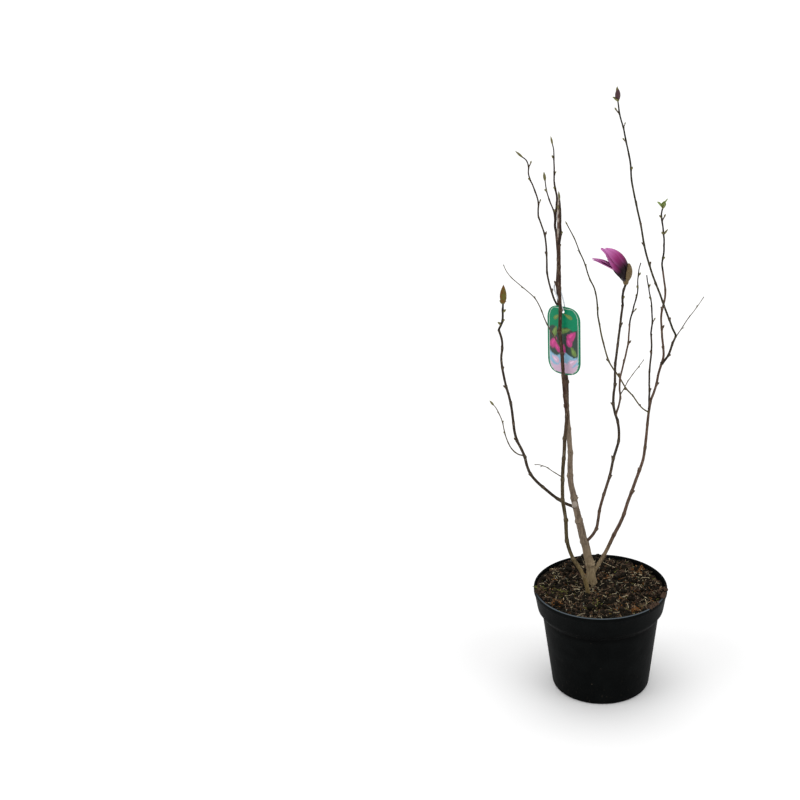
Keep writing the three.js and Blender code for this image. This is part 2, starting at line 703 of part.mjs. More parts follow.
// The label's own place, from its middle: u to the right, v up, w out of its printed face.
function onLabel(u, v, w) {
  const turn = degrees(LABEL_TURN);
  const out = w + LABEL_BULGE * (1 - ((2 * u) / LABEL_WIDTH) ** 2) - LABEL_BULGE / 2;
  return new THREE.Vector3(
    LABEL_CENTRE[0] + u * Math.cos(turn) - out * Math.sin(turn),
    LABEL_CENTRE[1] - u * Math.sin(turn) - out * Math.cos(turn),
    LABEL_CENTRE[2] + v,
  );
}

// A plate with round ends: rows of a flat box, two of them straight, drawn in to the outline.
function labelSolid() {
  const straight = LABEL_HEIGHT / 2 - LABEL_ROUND;
  const rows = 12;
  const unit = merged(new THREE.BoxGeometry(1, 1, 1, 4, 1, rows));
  const plate = solidOf(reshaped(unit, (x, y, z) => {
    const row = Math.abs(z) * rows;
    const angle = (degrees(84) * Math.max(0, row - 1)) / (rows / 2 - 1);
    const v = Math.sign(z) * (straight * Math.min(1, row) + LABEL_ROUND * Math.sin(angle));
    return onLabel(x * LABEL_WIDTH * Math.cos(angle) ** LABEL_SQUARENESS, v, -y * LABEL_THICKNESS);
  }));
  const hole = merged(new THREE.CylinderGeometry(LABEL_HOLE_RADIUS, LABEL_HOLE_RADIUS, 12, 10));
  const centre = onLabel(0, LABEL_HEIGHT / 2 - LABEL_HOLE_DROP, 0);
  hole.rotateZ(degrees(-LABEL_TURN)).translate(centre.x, centre.y, centre.z);
  return plate.subtract(solidOf(hole));
}

// The tie: a closed loop of clear strap, through the label's hole and round the back of the trunk.
function tieSolid() {
  const seat = 0.96 * LABEL_HOLE_RADIUS - TIE_RADIUS - 3 * GAP;
  const hole = onLabel(0, LABEL_HEIGHT / 2 - LABEL_HOLE_DROP + seat, -LABEL_THICKNESS / 2);
  const trunk = pointAlong(courseOf("trunk"), TIE_AT);
  const reach = radiusAt(LIMBS.trunk, TIE_AT) * NODE_SWELLING + TIE_RADIUS + GAP;
  const lower = pointAlong(courseOf("trunk"), TIE_AT - 0.016);
  const beside = (place, x, y) => place.clone().add(new THREE.Vector3(x * reach, y * reach, 0));
  const route = new THREE.CatmullRomCurve3([
    hole,
    hole.clone().add(new THREE.Vector3(-1, -2.4, 5)),
    beside(lower, -1.25, -0.3),
    beside(trunk, -0.95, 0.8),
    beside(trunk, 0.95, 0.8),
    beside(lower, 1.25, -0.3),
    hole.clone().add(new THREE.Vector3(2, 2.8, 6)),
  ], true, "centripetal");
  const steps = 28;
  const unit = merged(new THREE.TorusGeometry(10, 1, 5, steps));
  return solidOf(reshaped(unit, (x, y, z) => {
    const t = ((Math.atan2(y, x) / (2 * Math.PI) + 1) * steps % steps) / steps;
    const along = route.getTangent(t);
    const [side, across] = sidesOf(along);
    const out = Math.hypot(x, y) - 10;
    return route.getPoint(t).addScaledVector(side, out * TIE_RADIUS).addScaledVector(across, z * TIE_RADIUS);
  }));
}

// ---- The whole ----

function finish(colour, roughness) {
  return new THREE.MeshStandardMaterial({ color: colour, roughness, metalness: 0 });
}

function named(name, solid, material) {
  const { vertProperties, triVerts } = solid.getMesh();
  const geometry = new THREE.BufferGeometry();
  geometry.setAttribute("position", new THREE.BufferAttribute(vertProperties, 3));
  geometry.setIndex(new THREE.BufferAttribute(triVerts, 1));
  geometry.computeVertexNormals();
  const mesh = new THREE.Mesh(geometry, material);
  mesh.name = name;
  return mesh;
}

const magnolia = new THREE.Group();
magnolia.add(named("pot", potSolid(), finish(COLOURS.pot, 0.5)));
magnolia.add(named("soil", soilSolid(), finish(COLOURS.soil, 0.95)));
for (const name of Object.keys(BOUGHS)) {
  const colour = name === "trunk" ? COLOURS.trunk : COLOURS.bough;
  magnolia.add(named(name, boughSolid(name), finish(colour, 0.8)));
}
for (const [name, mass] of Object.entries(MASSES)) {
  const colour = mass.end === "flower" ? COLOURS.flower : COLOURS.twigs;
  magnolia.add(named(name, massSolid(mass), finish(colour, 0.75)));
}
magnolia.add(named("label", labelSolid(), finish(COLOURS.label, 0.35)));
magnolia.add(named("label_tie", tieSolid(), finish(COLOURS.tie, 0.25)));

export default magnolia;
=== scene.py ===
"""A young magnolia of several stems in a round nursery pot, nearly bare in early spring.

It has one half-open flower, swelling buds, peaty soil and a plain plant label tied to its trunk.
The scene is in metres, +Z up, with the origin at the centre of the pot's flat underside, +X to the
right and +Y to the back. The tables of limbs, buds, blades, soil and label are in millimetres and degrees.
"""

import json
import math

import bpy
import numpy as np
from bpy.props import FloatProperty, FloatVectorProperty, IntProperty, PointerProperty
from bpy.types import NodeSocket, Operator, Panel, PropertyGroup
from mathutils import Matrix, Vector

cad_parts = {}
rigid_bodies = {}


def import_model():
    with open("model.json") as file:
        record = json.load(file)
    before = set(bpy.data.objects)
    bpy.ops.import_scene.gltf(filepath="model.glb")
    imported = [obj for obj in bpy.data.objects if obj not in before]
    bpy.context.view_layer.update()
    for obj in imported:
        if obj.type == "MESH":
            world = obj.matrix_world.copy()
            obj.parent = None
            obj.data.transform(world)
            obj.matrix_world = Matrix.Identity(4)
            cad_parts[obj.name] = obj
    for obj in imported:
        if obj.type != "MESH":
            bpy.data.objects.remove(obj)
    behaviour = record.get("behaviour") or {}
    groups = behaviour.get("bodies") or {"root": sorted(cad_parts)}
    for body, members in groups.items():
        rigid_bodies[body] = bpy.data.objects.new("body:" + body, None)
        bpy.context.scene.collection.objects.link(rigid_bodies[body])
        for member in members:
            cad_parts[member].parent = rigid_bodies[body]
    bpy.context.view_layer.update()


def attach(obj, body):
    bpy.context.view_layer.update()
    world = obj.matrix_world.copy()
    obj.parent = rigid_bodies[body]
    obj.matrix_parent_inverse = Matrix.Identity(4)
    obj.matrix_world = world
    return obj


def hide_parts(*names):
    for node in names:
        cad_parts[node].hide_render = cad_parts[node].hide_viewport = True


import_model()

bl_info = {
    "name": "Potted Magnolia",
    "version": (1, 0, 0),
    "blender": (4, 5, 0),
    "location": "View3D > Sidebar > Magnolia",
    "description": "Builds a young magnolia in a nursery pot, with its buds, flower, soil and label",
    "category": "Add Mesh",
}

MM = 0.001
SEED = 5
GOLDEN_TURN = 137.5  # from one bud to the next, round the limb
SOIL_LEVEL = 146  # the flat soil round the stems' feet
MIX_A, MIX_B, MIX_OUT = 6, 7, 2  # the colour sockets of a Mix node

# A limb: the limb it grows from and where, its length, the turn at its nodes, the length between nodes,
# its diameters, and its leans to the right and to the back. Diameters and leans are at even stations
# from foot to tip. "at=1" grows on from the parent's tip.
LIMBS = {
    "trunk": dict(
        start=(-11, 17), length=529, turn=3, internode=36,
        girth=(11.4, 11.4, 9.6, 7.9, 7, 6.3, 5.7, 5.1, 4.6, 4, 3.5),
        right=(-9, -10, -15, -1, -3, -2, -6, -3, 0, -2), back=(0, 2, 2, -1)),
    "trunk_tip": dict(
        parent="trunk", at=1, length=121, turn=7, internode=20, girth=(3.5, 1.5),
        right=(-24, 17, -17, 11, -23), back=(6, 9)),
    "trunk_spur": dict(
        parent="trunk_tip", at=0.13, length=64, turn=7, internode=16, girth=(2.2, 1.5),
        right=(-12, -15, -10), back=(-13, -8)),
    "front_stem": dict(
        start=(-17, -10), length=522, turn=3, internode=30, girth=(5.4, 4.4),
        right=(-9, -29, -3, -5, 6, 3, -5, -3, -1, 1, -4), back=(-2, 6, 2, 2)),
    "front_tip": dict(
        parent="front_stem", at=1, length=66, turn=7, internode=16, girth=(4.2, 1.8),
        right=(1, 5, -12), back=(-11, -3)),
    "front_low_twig": dict(
        parent="front_stem", at=0.36, length=51, turn=3, internode=14, girth=(1.5, 1),
        right=(-59, -37, -63), back=(-9, -33)),
    "label_twig": dict(
        parent="front_stem", at=0.72, length=152, turn=3, internode=22, girth=(2, 1),
        right=(-32, -24, -16, -37, -49, -16), back=(-11, -8)),
    "left_bough": dict(
        parent="trunk", at=0.24, length=344, turn=3, internode=30, girth=(4.4, 3),
        right=(-65, -41, -34, -11, -17, -2, -7, -13, 10, -19), back=(-16, -15, -15)),
    "left_tip": dict(
        parent="left_bough", at=1, length=41, turn=6, internode=14, girth=(3, 2.6),
        right=(21, 6, 2), back=(1, -4)),
    "left_low_twig": dict(
        parent="left_bough", at=0.37, length=90, turn=4, internode=16, girth=(1.9, 1.3),
        right=(-88, -27, -14, -16, -47), back=(-8, 41)),
    "crown_left_bough": dict(
        parent="trunk", at=0.8, length=129, turn=5, internode=26, girth=(2.7, 2.3),
        right=(-41, -12, 1, -11, -15), back=(14, 14)),
    "crown_left_tip": dict(
        parent="crown_left_bough", at=1, length=87, turn=7, internode=18, girth=(2.3, 1.7),
        right=(-12, -1, -18, -26, 4, -57), back=(6, 10)),
    "flower_bough": dict(
        parent="trunk", at=0.13, length=399, turn=3, internode=30, girth=(4.4, 3),
        right=(41, 8, 13, 13, 10, -13, 3, 4, 5, 10), back=(-9, -10, -11)),
    "flower_tip": dict(
        parent="flower_bough", at=1, length=33, turn=3, internode=12, girth=(3, 3),
        right=(-11, 10, 21), back=(-8, -8)),
    "flower_side_bough": dict(
        parent="flower_bough", at=0.57, length=127, turn=4, internode=26, girth=(2.8, 2.3),
        right=(18, -1, 14, 9, 8), back=(-2, 25)),
    "flower_side_tip": dict(
        parent="flower_side_bough", at=1, length=84, turn=6, internode=18, girth=(2.3, 1.4),
        right=(0, 23, -6, 27), back=(8, 16)),
    "pale_twig": dict(
        parent="flower_side_bough", at=0.23, length=74, turn=3, internode=16, girth=(1.5, 0.9),
        right=(16, 24, 34), back=(-29, -14)),
    "right_stem": dict(
        parent="trunk", at=0.03, length=270, turn=3, internode=32, girth=(5.6, 3.6),
        right=(28, 29, 27, 14, 26, 7, 6, 11), back=(18, 14, 16)),
    "right_bough": dict(
        parent="right_stem", at=1, length=202, turn=4, internode=28, girth=(3.6, 2.6),
        right=(15, 9, 20, -10, -5, 14, -6, -7), back=(-6, -3, -5)),
    "right_tip": dict(
        parent="right_bough", at=1, length=97, turn=7, internode=18, girth=(2.6, 2.1),
        right=(-21, 12, -5, -13, 25), back=(-13, -11)),
    "back_bough": dict(
        parent="right_stem", at=0.955, length=108, turn=3, internode=26, girth=(2.8, 2.5),
        right=(-5, 2, 6, -8), back=(27, 14, 15)),
    "back_tip": dict(
        parent="back_bough", at=1, length=84, turn=6, internode=18, girth=(2.5, 1.6),
        right=(-1, 3, -16, 2), back=(12, 16)),
    "outer_bough": dict(
        parent="right_bough", at=0.3, length=54, turn=3, internode=18, girth=(3.4, 2.9),
        right=(36, 14, 15), back=(-12, -25)),
    "outer_twig": dict(
        parent="outer_bough", at=0.9, length=73, turn=3, internode=18, girth=(1.5, 0.9),
        right=(25, 35, 28), back=(-3, -3)),
    "tall_bough": dict(
        parent="outer_bough", at=1, length=240, turn=2, internode=30, girth=(2.9, 2.5),
        right=(-23, -16, -21, -10, -12, -9), back=(-15, -7, -7)),
    "tall_tip": dict(
        parent="tall_bough", at=1, length=116, turn=4, internode=18, girth=(2.5, 1.9),
        right=(-12, -3, -12, -14, -10, -10), back=(-6, -6)),
    "whip_bough": dict(
        parent="right_stem", at=0.94, length=192, turn=3, internode=28, girth=(2, 2.3),
        right=(-43, -15, -23, -28, -17, -7), back=(-34, -40, -6, 12)),
    "whip_tip": dict(
        parent="whip_bough", at=1, length=145, turn=5, internode=22, girth=(2.3, 1.4),
        right=(-19, 2, -27, -15, -26, -26), back=(3, 7)),
}

# The boughs that keep a piece of their own, and the bark that each wears.
BOUGHS = {
    "trunk": "trunk", "right_stem": "stem", "front_stem": "front", "left_bough": "brown",
    "crown_left_bough": "brown", "flower_bough": "flower", "flower_side_bough": "stem",
    "right_bough": "stem", "back_bough": "brown", "outer_bough": "brown",
    "tall_bough": "olive", "whip_bough": "whip",
}

# The twigs by the colour of their bark, and the mass that each belongs to.
TWIGS = {
    "brown": {
        "left_tip": "left_tip_twigs", "flower_tip": "flower_twigs", "flower_side_tip": "flower_side_twigs",
        "right_tip": "right_tip_twigs", "back_tip": "back_tip_twigs",
    },
    "red": {
        "trunk_tip": "trunk_tip_twigs", "trunk_spur": "trunk_tip_twigs", "front_tip": "front_tip_twigs",
        "crown_left_tip": "crown_left_twigs",
    },
    "olive": {"tall_tip": "tall_tip_twigs"},
    "whip": {"whip_tip": "whip_twigs"},
    "pale": {
        "left_low_twig": "left_low_twigs", "front_low_twig": "front_low_twigs",
        "label_twig": "label_side_twigs", "pale_twig": "flower_low_twigs", "outer_twig": "outer_twigs",
    },
}

# The bud that a twig ends in: its length and radius.
ENDS = {
    "trunk_tip": (11, 1.4), "trunk_spur": (12, 2.0), "front_tip": (11, 1.5), "left_low_twig": (9, 1.6),
    "crown_left_tip": (13, 1.6), "whip_tip": (6, 1.0), "right_tip": (9, 2.0),
}

# Stout buds that stand out from a twig: the twig and how far up it, the lean to the right, the length
# and the radius.
SIDE_BUDS = (
    ("left_tip", 0.93, -48, 6, 1.9), ("left_tip", 1.0, 42, 7, 1.9), ("left_tip", 0.62, 50, 6, 1.7),
    ("left_tip", 0.2, -52, 6, 1.7), ("right_tip", 0.84, -46, 5, 1.5), ("right_tip", 0.58, 36, 10, 1.4),
    ("tall_tip", 0.98, -50, 8, 1.7),
)

# Blades: the bearing round the axis, the length and width, the degrees that it opens from the axis at
# its foot, curls by on its way to its tip, and wraps round the axis across its width.
RAISED_TEPALS = (
    (178, 61, 21, 68, -112, 120), (212, 60, 15, 43, -69, 100), (146, 57, 15, 42, -68, 100),
    (205, 61, 20, 57, -93, 120), (222, 50, 20, 52, -84, 110),
)
DROPPED_TEPALS = ((3, 54, 15, 0, 23, 70), (352, 53, 17, 2, 21, 50), (350, 46, 13, -3, 20, 60))
HEEL_TEPALS = (
    (190, 50, 18, 40, -72, 130), (240, 44, 15, 24, -40, 120), (120, 44, 15, 24, -40, 120),
    (20, 40, 13, 12, -16, 170),
)
BRACTS = ((215, 31, 15, 48, -84, 120), (190, 30, 14, 50, -84, 130))
YOUNG_LEAVES = (
    (180, 16, 7.5, 8, 12, 60), (5, 12, 8.5, 44, 12, 60), (100, 10, 7, 20, 12, 60), (260, 9, 6, 10, 12, 60),
)
BUD_SCALES = (
    ("tall_tip", (0, 10, 4.2, 36, 10, 60)), ("tall_tip", (300, 9, 4.2, 36, 10, 60)),
    ("left_tip", (190, 7, 4.2, 36, 10, 60)), ("left_tip", (10, 7, 4.2, 36, 10, 60)),
)

# Mounds and hollows of the soil: where each lies, its radius, and its height or depth.
MOUNDS = (
    (24, 39, 11, -4.5), (52, -24, 9, -4.5), (-34, 46, 9, -3.0), (-52, -18, 9, -3.0), (4, -52, 10, -3.0),
    (20, -10, 8, -2.5), (82, -6, 11, 8.5), (68, -58, 9, 10.0), (-84, -14, 9, 7.5), (47, -53, 9, 2.5),
    (-61, -45, 9, 2.0), (55, 54, 10, 2.5), (-30, 74, 12, 2.0),
)

# Crumbs on the soil: the piece, its colour, the least and the most half-length, the share of all crumbs,
# and the heaps of more of them. A heap is its place, its spread and its count.
CRUMBS = (
    ("crumbs_dark", "peat", 1.0, 4.2, 0.40, ()),
    ("crumbs_brown", "crumb", 0.7, 2.6, 0.20,
     ((85, -8, 9, 120), (73, -56, 8, 130), (88, -28, 6, 50), (-86, -20, 7, 50))),
    ("crumbs_rust", "rust", 0.4, 1.3, 0.03, ()),
    ("grit", "grit", 0.35, 1.0, 0.09, ()),
)

# Strands on the soil: the piece, its colour, the radius, the share of all fibres, the scale of the
# length, and the tufts of more of them.
STRANDS = (
    ("straw", "straw", 0.36, 0.24, 2.8, ((47, -53, 7, 10), (60, 50, 9, 14), (-30, 4, 20, 50))),
    ("rusty_fibre", "rust", 0.36, 0.12, 2.2,
     ((47, -53, 8, 90), (-61, -45, 8, 45), (55, 54, 10, 60), (86, 4, 5, 20))),
    ("brown_fibre", "fibre", 0.45, 0.5, 2.9, ()),
    ("moss", "moss", 0.36, 0.08, 1.6, ((-85, -10, 7, 80), (-60, -10, 12, 50), (-8, -44, 12, 50))),
)

# Petals and leaves printed on the label: the middle, half the length and half the width, the lean, and
# the colour.
PRINTED = (
    (-13, 12, 8, 3.0, 70, "leaf"), (3, 15, 9, 2.8, 20, "leaf"), (15, -13, 8, 2.6, 120, "leaf"),
    (-15, -4, 9, 4.2, 60, "pink"), (-9, -10, 8, 3.8, 125, "pink"), (13, 8, 9, 4.4, 50, "pink"),
    (9, 0, 8, 3.6, 105, "pink"), (0, -12, 7, 3.4, 80, "pink"), (14, -30, 8, 3.6, 35, "blush"),
    (-13, -28, 7, 3.2, 150, "blush"), (8, 36, 7, 2.2, 155, "leaf"), (-10, 33, 6, 2.0, 40, "leaf"),
)


def linear(tone):
    """An sRGB colour as #RRGGBB, turned to linear red, green and blue."""
    parts = [int(tone[i:i + 2], 16) / 255 for i in (1, 3, 5)]
    return tuple(p / 12.92 if p <= 0.04045 else ((p + 0.055) / 1.055) ** 2.4 for p in parts)


def size(name, description, default):
    return FloatProperty(name=name, description=description, default=default, subtype="DISTANCE",
                         unit="LENGTH", min=0.0, precision=4)


def angle(name, description, default):
    return FloatProperty(name=name, description=description, default=math.radians(default), subtype="ANGLE")


def amount(name, description, default):
    return FloatProperty(name=name, description=description, default=default, min=0.0)


def colour(name, description, default):
    return FloatVectorProperty(name=name, description=description, default=linear(default),
                               subtype="COLOR", size=3, min=0.0, max=1.0)


class MagnoliaWood(PropertyGroup):
    """The bark of trunk, boughs and twigs."""

    ring_spacing: size("Ring spacing", "Distance between the rings of a limb's surface", 0.0007)
    ridge_depth: size("Ridge depth", "How far the ridges of old bark stand out", 0.00022)
    node_swelling: amount("Node swelling", "How much fatter a limb is at its nodes, as a share", 0.17)
    foot: colour("Foot bark", "The foot of the trunk and of the right stem", "#A18E6E")
    grey: colour("Grey bark", "Bark of the trunk's lower half", "#867564")
    stem: colour("Stem bark", "Bark of the right stem and its boughs", "#5E4639")
    brown: colour("Brown bark", "Bark of the thinner boughs", "#2F2115")
    olive: colour("Olive bark", "Bark of the tall bough", "#29260F")
    whip: colour("Whip bark", "Bark of the slender whip", "#574F2A")
    tan: colour("Tan bark", "The foot of the front stem", "#84714A")
    green: colour("Green-brown bark", "Bark of the front stem's lower half", "#453A1F")
    red: colour("Red bark", "Bark of the upper trunk and front stem", "#412618")
    pale: colour("Pale bark", "Bark of the thin side twigs", "#877B68")
    lichen: colour("Lenticels", "The small pale pores of the bark", "#9A8C74")
    callus: colour("Callus", "The healed knob at the fork, and the old stub", "#A09488")


class MagnoliaBuds(PropertyGroup):
    """Buds, small leaves and bud scales."""

    leaf_bud: size("Leaf bud", "Length of a small leaf bud", 0.0042)
    flower_bud: size("Flower bud", "Length of the fat furry bud", 0.026)
    furry: colour("Furry scale", "The scale of a fat flower bud", "#6E4A26")
    brown: colour("Brown bud", "Closed buds on old wood", "#4E3A24")
    green: colour("Green bud", "Swelling leaf buds", "#66602F")
    maroon: colour("Maroon bud", "The flower bud at the top", "#44222A")
    leaf: colour("Young leaf", "Leaves that are breaking", "#80924A")


class MagnoliaFlower(PropertyGroup):
    """The half-open flower."""

    tepal: colour("Tepal", "The outside of a tepal", "#983072")
    # The tip colour also lightens each tepal's edges, partly as a painted highlight where the edges catch
    # the light.
    tip: colour("Tepal tip", "The pale tip of a tepal", "#CE7EBE")
    # The tepals' dark foot is their own dark base, together with painted shade where the upper tepals shade
    # it.
    base: colour("Tepal base", "The dark foot of a tepal", "#16050C")
    bract: colour("Bract", "The dry scale beside the flower", "#6C5B3F")
    thickness: size("Tepal thickness", "Thickness of a tepal", 0.0007)


class MagnoliaPot(PropertyGroup):
    """The nursery pot and its soil."""

    radius: size("Rim radius", "Outside radius at the rim", 0.095)
    height: size("Height", "Height of the pot", 0.155)
    foot_radius: size("Foot radius", "Outside radius above the rounded bottom edge", 0.0703)
    body_radius: size("Body radius", "Outside radius at the top of the straight body", 0.0832)
    collar_radius: size("Collar radius", "Outside radius at the foot of the collar", 0.0904)
    collar: size("Collar height", "Height of the band under the rim", 0.029)
    step: size("Step height", "Height of the sloping step under the collar", 0.012)
    lip: size("Lip height", "Height of the lip round the rim", 0.007)
    wall: size("Wall", "Thickness of the wall", 0.0015)
    drain_radius: size("Drain hole", "Radius of each hole in the floor", 0.005)
    drain_circle: size("Drain circle", "Radius of the circle that the holes stand on", 0.05)
    soil_radius: size("Soil radius", "Radius of the soil's surface", 0.0917)
    plastic: colour("Plastic", "Black moulded plastic", "#0A0C0C")
    # The rim colour is a painted highlight: the light that the rim's upper edge catches at the front, not
    # wear.
    rim: colour("Rim", "The worn upper edge of the rim", "#50585E")
    dust: colour("Dust", "Dried splashes on the pot", "#5A5044")
    peat: colour("Peat", "The dark ground of the soil", "#1A1610")
    crumb: colour("Crumbs", "Brown crumbs of peat", "#49392E")
    fibre: colour("Fibres", "Brown fibres of peat", "#604F3E")
    straw: colour("Straw", "Dry fibres in the peat", "#B5A88A")
    rust: colour("Rust", "Orange-brown tufts of fibre", "#85592F")
    grit: colour("Grit", "Pale grit and husks", "#B0B6A6")
    moss: colour("Moss", "Moss by the rim", "#6A6D36")
    crumbs: IntProperty(name="Crumbs", description="How many crumbs lie on the soil", default=4200, min=0)
    fibres: IntProperty(name="Fibres", description="How many fibres lie on the soil", default=2600, min=0)


class MagnoliaLabel(PropertyGroup):
    """The plant label and its tie."""

    width: size("Width", "Width of the label", 0.0515)
    height: size("Height", "Height of the label", 0.098)
    thickness: size("Thickness", "Thickness of the label", 0.0008)
    border: colour("Border", "The label's border", "#147A55")
    bright: colour("Bright ground", "The upper ground", "#00865C")
    dark: colour("Dark ground", "The middle ground", "#3A4A44")
    pink: colour("Pink", "The pink shapes", "#BE4483")
    sky: colour("Pale ground", "The lower ground", "#8DB9D4")
    blush: colour("Blush", "The palest shapes", "#D2B4CC")
    leaf: colour("Leaf", "The green shapes", "#6F8A4A")
    line: colour("Line", "The fine line inside the border", "#CBDACE")
    tie: colour("Tie", "The clear strap", "#D6DCE2")


class MagnoliaStage(PropertyGroup):
    """Floor, light and camera."""

    distance: size("Camera distance", "How far the camera stands in front of the pot", 2.0)
    eye: size("Camera height", "Height of the camera", 1.2722)
    pan: angle("Pan", "Turn to the right", -7.822)
    tilt: angle("Tilt", "Turn up", -22.316)
    roll: angle("Roll", "Turn about the view", -3.102)
    lens: amount("Lens", "Focal length in millimetres on a 36 mm sensor", 70.85)
    floor: colour("Floor", "The pale floor", "#FAFAFA")
    sky: amount("Sky", "Strength of the even light", 0.62)
    top: amount("Top light", "Strength of the light from above", 1.15)
    side: amount("Side light", "Strength of the light from either side", 0.45)


GROUPS = {
    "magnolia_wood": MagnoliaWood, "magnolia_buds": MagnoliaBuds, "magnolia_flower": MagnoliaFlower,
    "magnolia_pot": MagnoliaPot, "magnolia_label": MagnoliaLabel, "magnolia_stage": MagnoliaStage,
}


# ---- Meshes from arrays ----


def grid_faces(rows, columns, closed):
    """Faces of a grid of rows by columns, whose columns close on themselves where asked."""
    row, column = np.meshgrid(np.arange(rows - 1), np.arange(columns - (0 if closed else 1)), indexing="ij")
    after = (column + 1) % columns
    corners = (row * columns + column, (row + 1) * columns + column,
               (row + 1) * columns + after, row * columns + after)
    return np.stack(corners, axis=-1).reshape(-1, 4)


def turns(count):
    """So many angles, evenly round a circle."""
    return 2 * math.pi * np.arange(count) / count


def closed_form(rings):
    """A closed surface from rings of points, rows by sides: bands between the rings, and a fan over
    the middle of the first and of the last ring. The rings run so that the faces look outward."""
    rows, sides = rings.shape[:2]
    poles = np.stack([rings[0].mean(axis=0), rings[-1].mean(axis=0)])
    points = np.concatenate([rings.reshape(-1, 3), poles])
    near = np.arange(sides)
    after = (near + 1) % sides
    first, last = rows * sides, rows * sides + 1
    top = (rows - 1) * sides
    fan = [np.stack([np.full(sides, first), near, after], axis=1),
           np.stack([np.full(sides, last), top + after, top + near], axis=1)]
    return points, grid_faces(rows, sides, True), np.concatenate(fan)


class Build:
    """Collects shells, each with its points, its four-sided and its three-sided faces."""

    def __init__(self):
        self.points, self.quads, self.triangles, self.slots, self.values = [], [], [], [], {}
        self.count = 0

    def add(self, points, quads, triangles=None, slot=0, **values):
        triangles = np.zeros((0, 3), int) if triangles is None else triangles
        self.points.append(points)
        self.quads.append(quads + self.count)
        self.triangles.append(triangles + self.count)
        self.slots.append((slot, len(quads), len(triangles)))
        for key, value in values.items():
            self.values.setdefault(key, []).append(value)
        self.count += len(points)

    def piece(self, name, materials):
        """One mesh object of all the shells, at the origin, smooth, with its values as attributes."""
        points = np.concatenate(self.points).astype(np.float32)
        quads = np.concatenate(self.quads).astype(np.int32)
        triangles = np.concatenate(self.triangles).astype(np.int32)
        mesh = bpy.data.meshes.new(name)
        mesh.vertices.add(len(points))
        mesh.vertices.foreach_set("co", points.ravel())
        corners = np.concatenate([quads.ravel(), triangles.ravel()])
        mesh.loops.add(len(corners))
        mesh.loops.foreach_set("vertex_index", corners)
        totals = np.concatenate([np.full(len(quads), 4), np.full(len(triangles), 3)]).astype(np.int32)
        starts = np.concatenate([[0], np.cumsum(totals)[:-1]]).astype(np.int32)
        mesh.polygons.add(len(totals))
        mesh.polygons.foreach_set("loop_start", starts)
        mesh.polygons.foreach_set("loop_total", totals)
        slots = [np.full(q, s) for s, q, _ in self.slots] + [np.full(t, s) for s, _, t in self.slots]
        mesh.polygons.foreach_set("material_index", np.concatenate(slots).astype(np.int32))
        mesh.polygons.foreach_set("use_smooth", np.ones(len(totals), bool))
        for key, value in self.values.items():
            layer = np.concatenate(value).astype(np.float32)
            if layer.ndim == 1:
                mesh.attributes.new(key, "FLOAT", "POINT").data.foreach_set("value", layer)
            elif layer.shape[1] == 2:
                mesh.uv_layers.new(name=key).data.foreach_set("uv", layer[corners].ravel())
            else:
                rgba = np.concatenate([layer, np.ones((len(layer), 1), np.float32)], axis=1)
                mesh.attributes.new(key, "FLOAT_COLOR", "POINT").data.foreach_set("color", rgba.ravel())
        mesh.update(calc_edges=True)
        mesh.validate()
        for material in materials:
            mesh.materials.append(material)
        piece = bpy.data.objects.new(name, mesh)
        bpy.context.collection.objects.link(piece)
        return piece


def settle(piece, nodes):
    """Gives the piece to the plant: it rides on the whole and stands for solid nodes."""
    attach(piece, "root")
    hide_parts(*sorted(set(nodes)))


# ---- Courses of the limbs ----


def unit(vectors):
    return vectors / np.linalg.norm(vectors, axis=-1, keepdims=True)


def leaning(right, back):
    """Unit directions that lean right and back by two angles in degrees."""
    x, y = np.sin(np.radians(right)), np.sin(np.radians(back))
    return unit(np.stack([x, y, np.sqrt(np.maximum(0.02, 1 - x * x - y * y))], axis=-1))


def sides_of(directions):
    """Two directions square to each: the first to its side, the second across both."""
    side = unit(np.cross(directions, np.array([0.0, 1.0, 0.0])))
    return side, np.cross(side, directions)


def tube(points, directions, radii, turn):
    """Rings of points round an axis, each in the plane square to it."""
    side, across = sides_of(directions)
    round_ = (np.cos(turn)[:, None] * side[..., None, :] + np.sin(turn)[:, None] * across[..., None, :])
    return points[..., None, :] + radii[..., None] * round_


def reading(values, fractions):
    return np.interp(fractions, np.linspace(0, 1, len(values)), values)


def through(a, b, c, d, t):
    """A cubic from b to c, whose slope at each is half the way from the point before to the one after."""
    return 0.5 * (2 * b + (c - a) * t + (2 * a - 5 * b + 4 * c - d) * t ** 2
                  + (3 * b - a - 3 * c + d) * t ** 3)


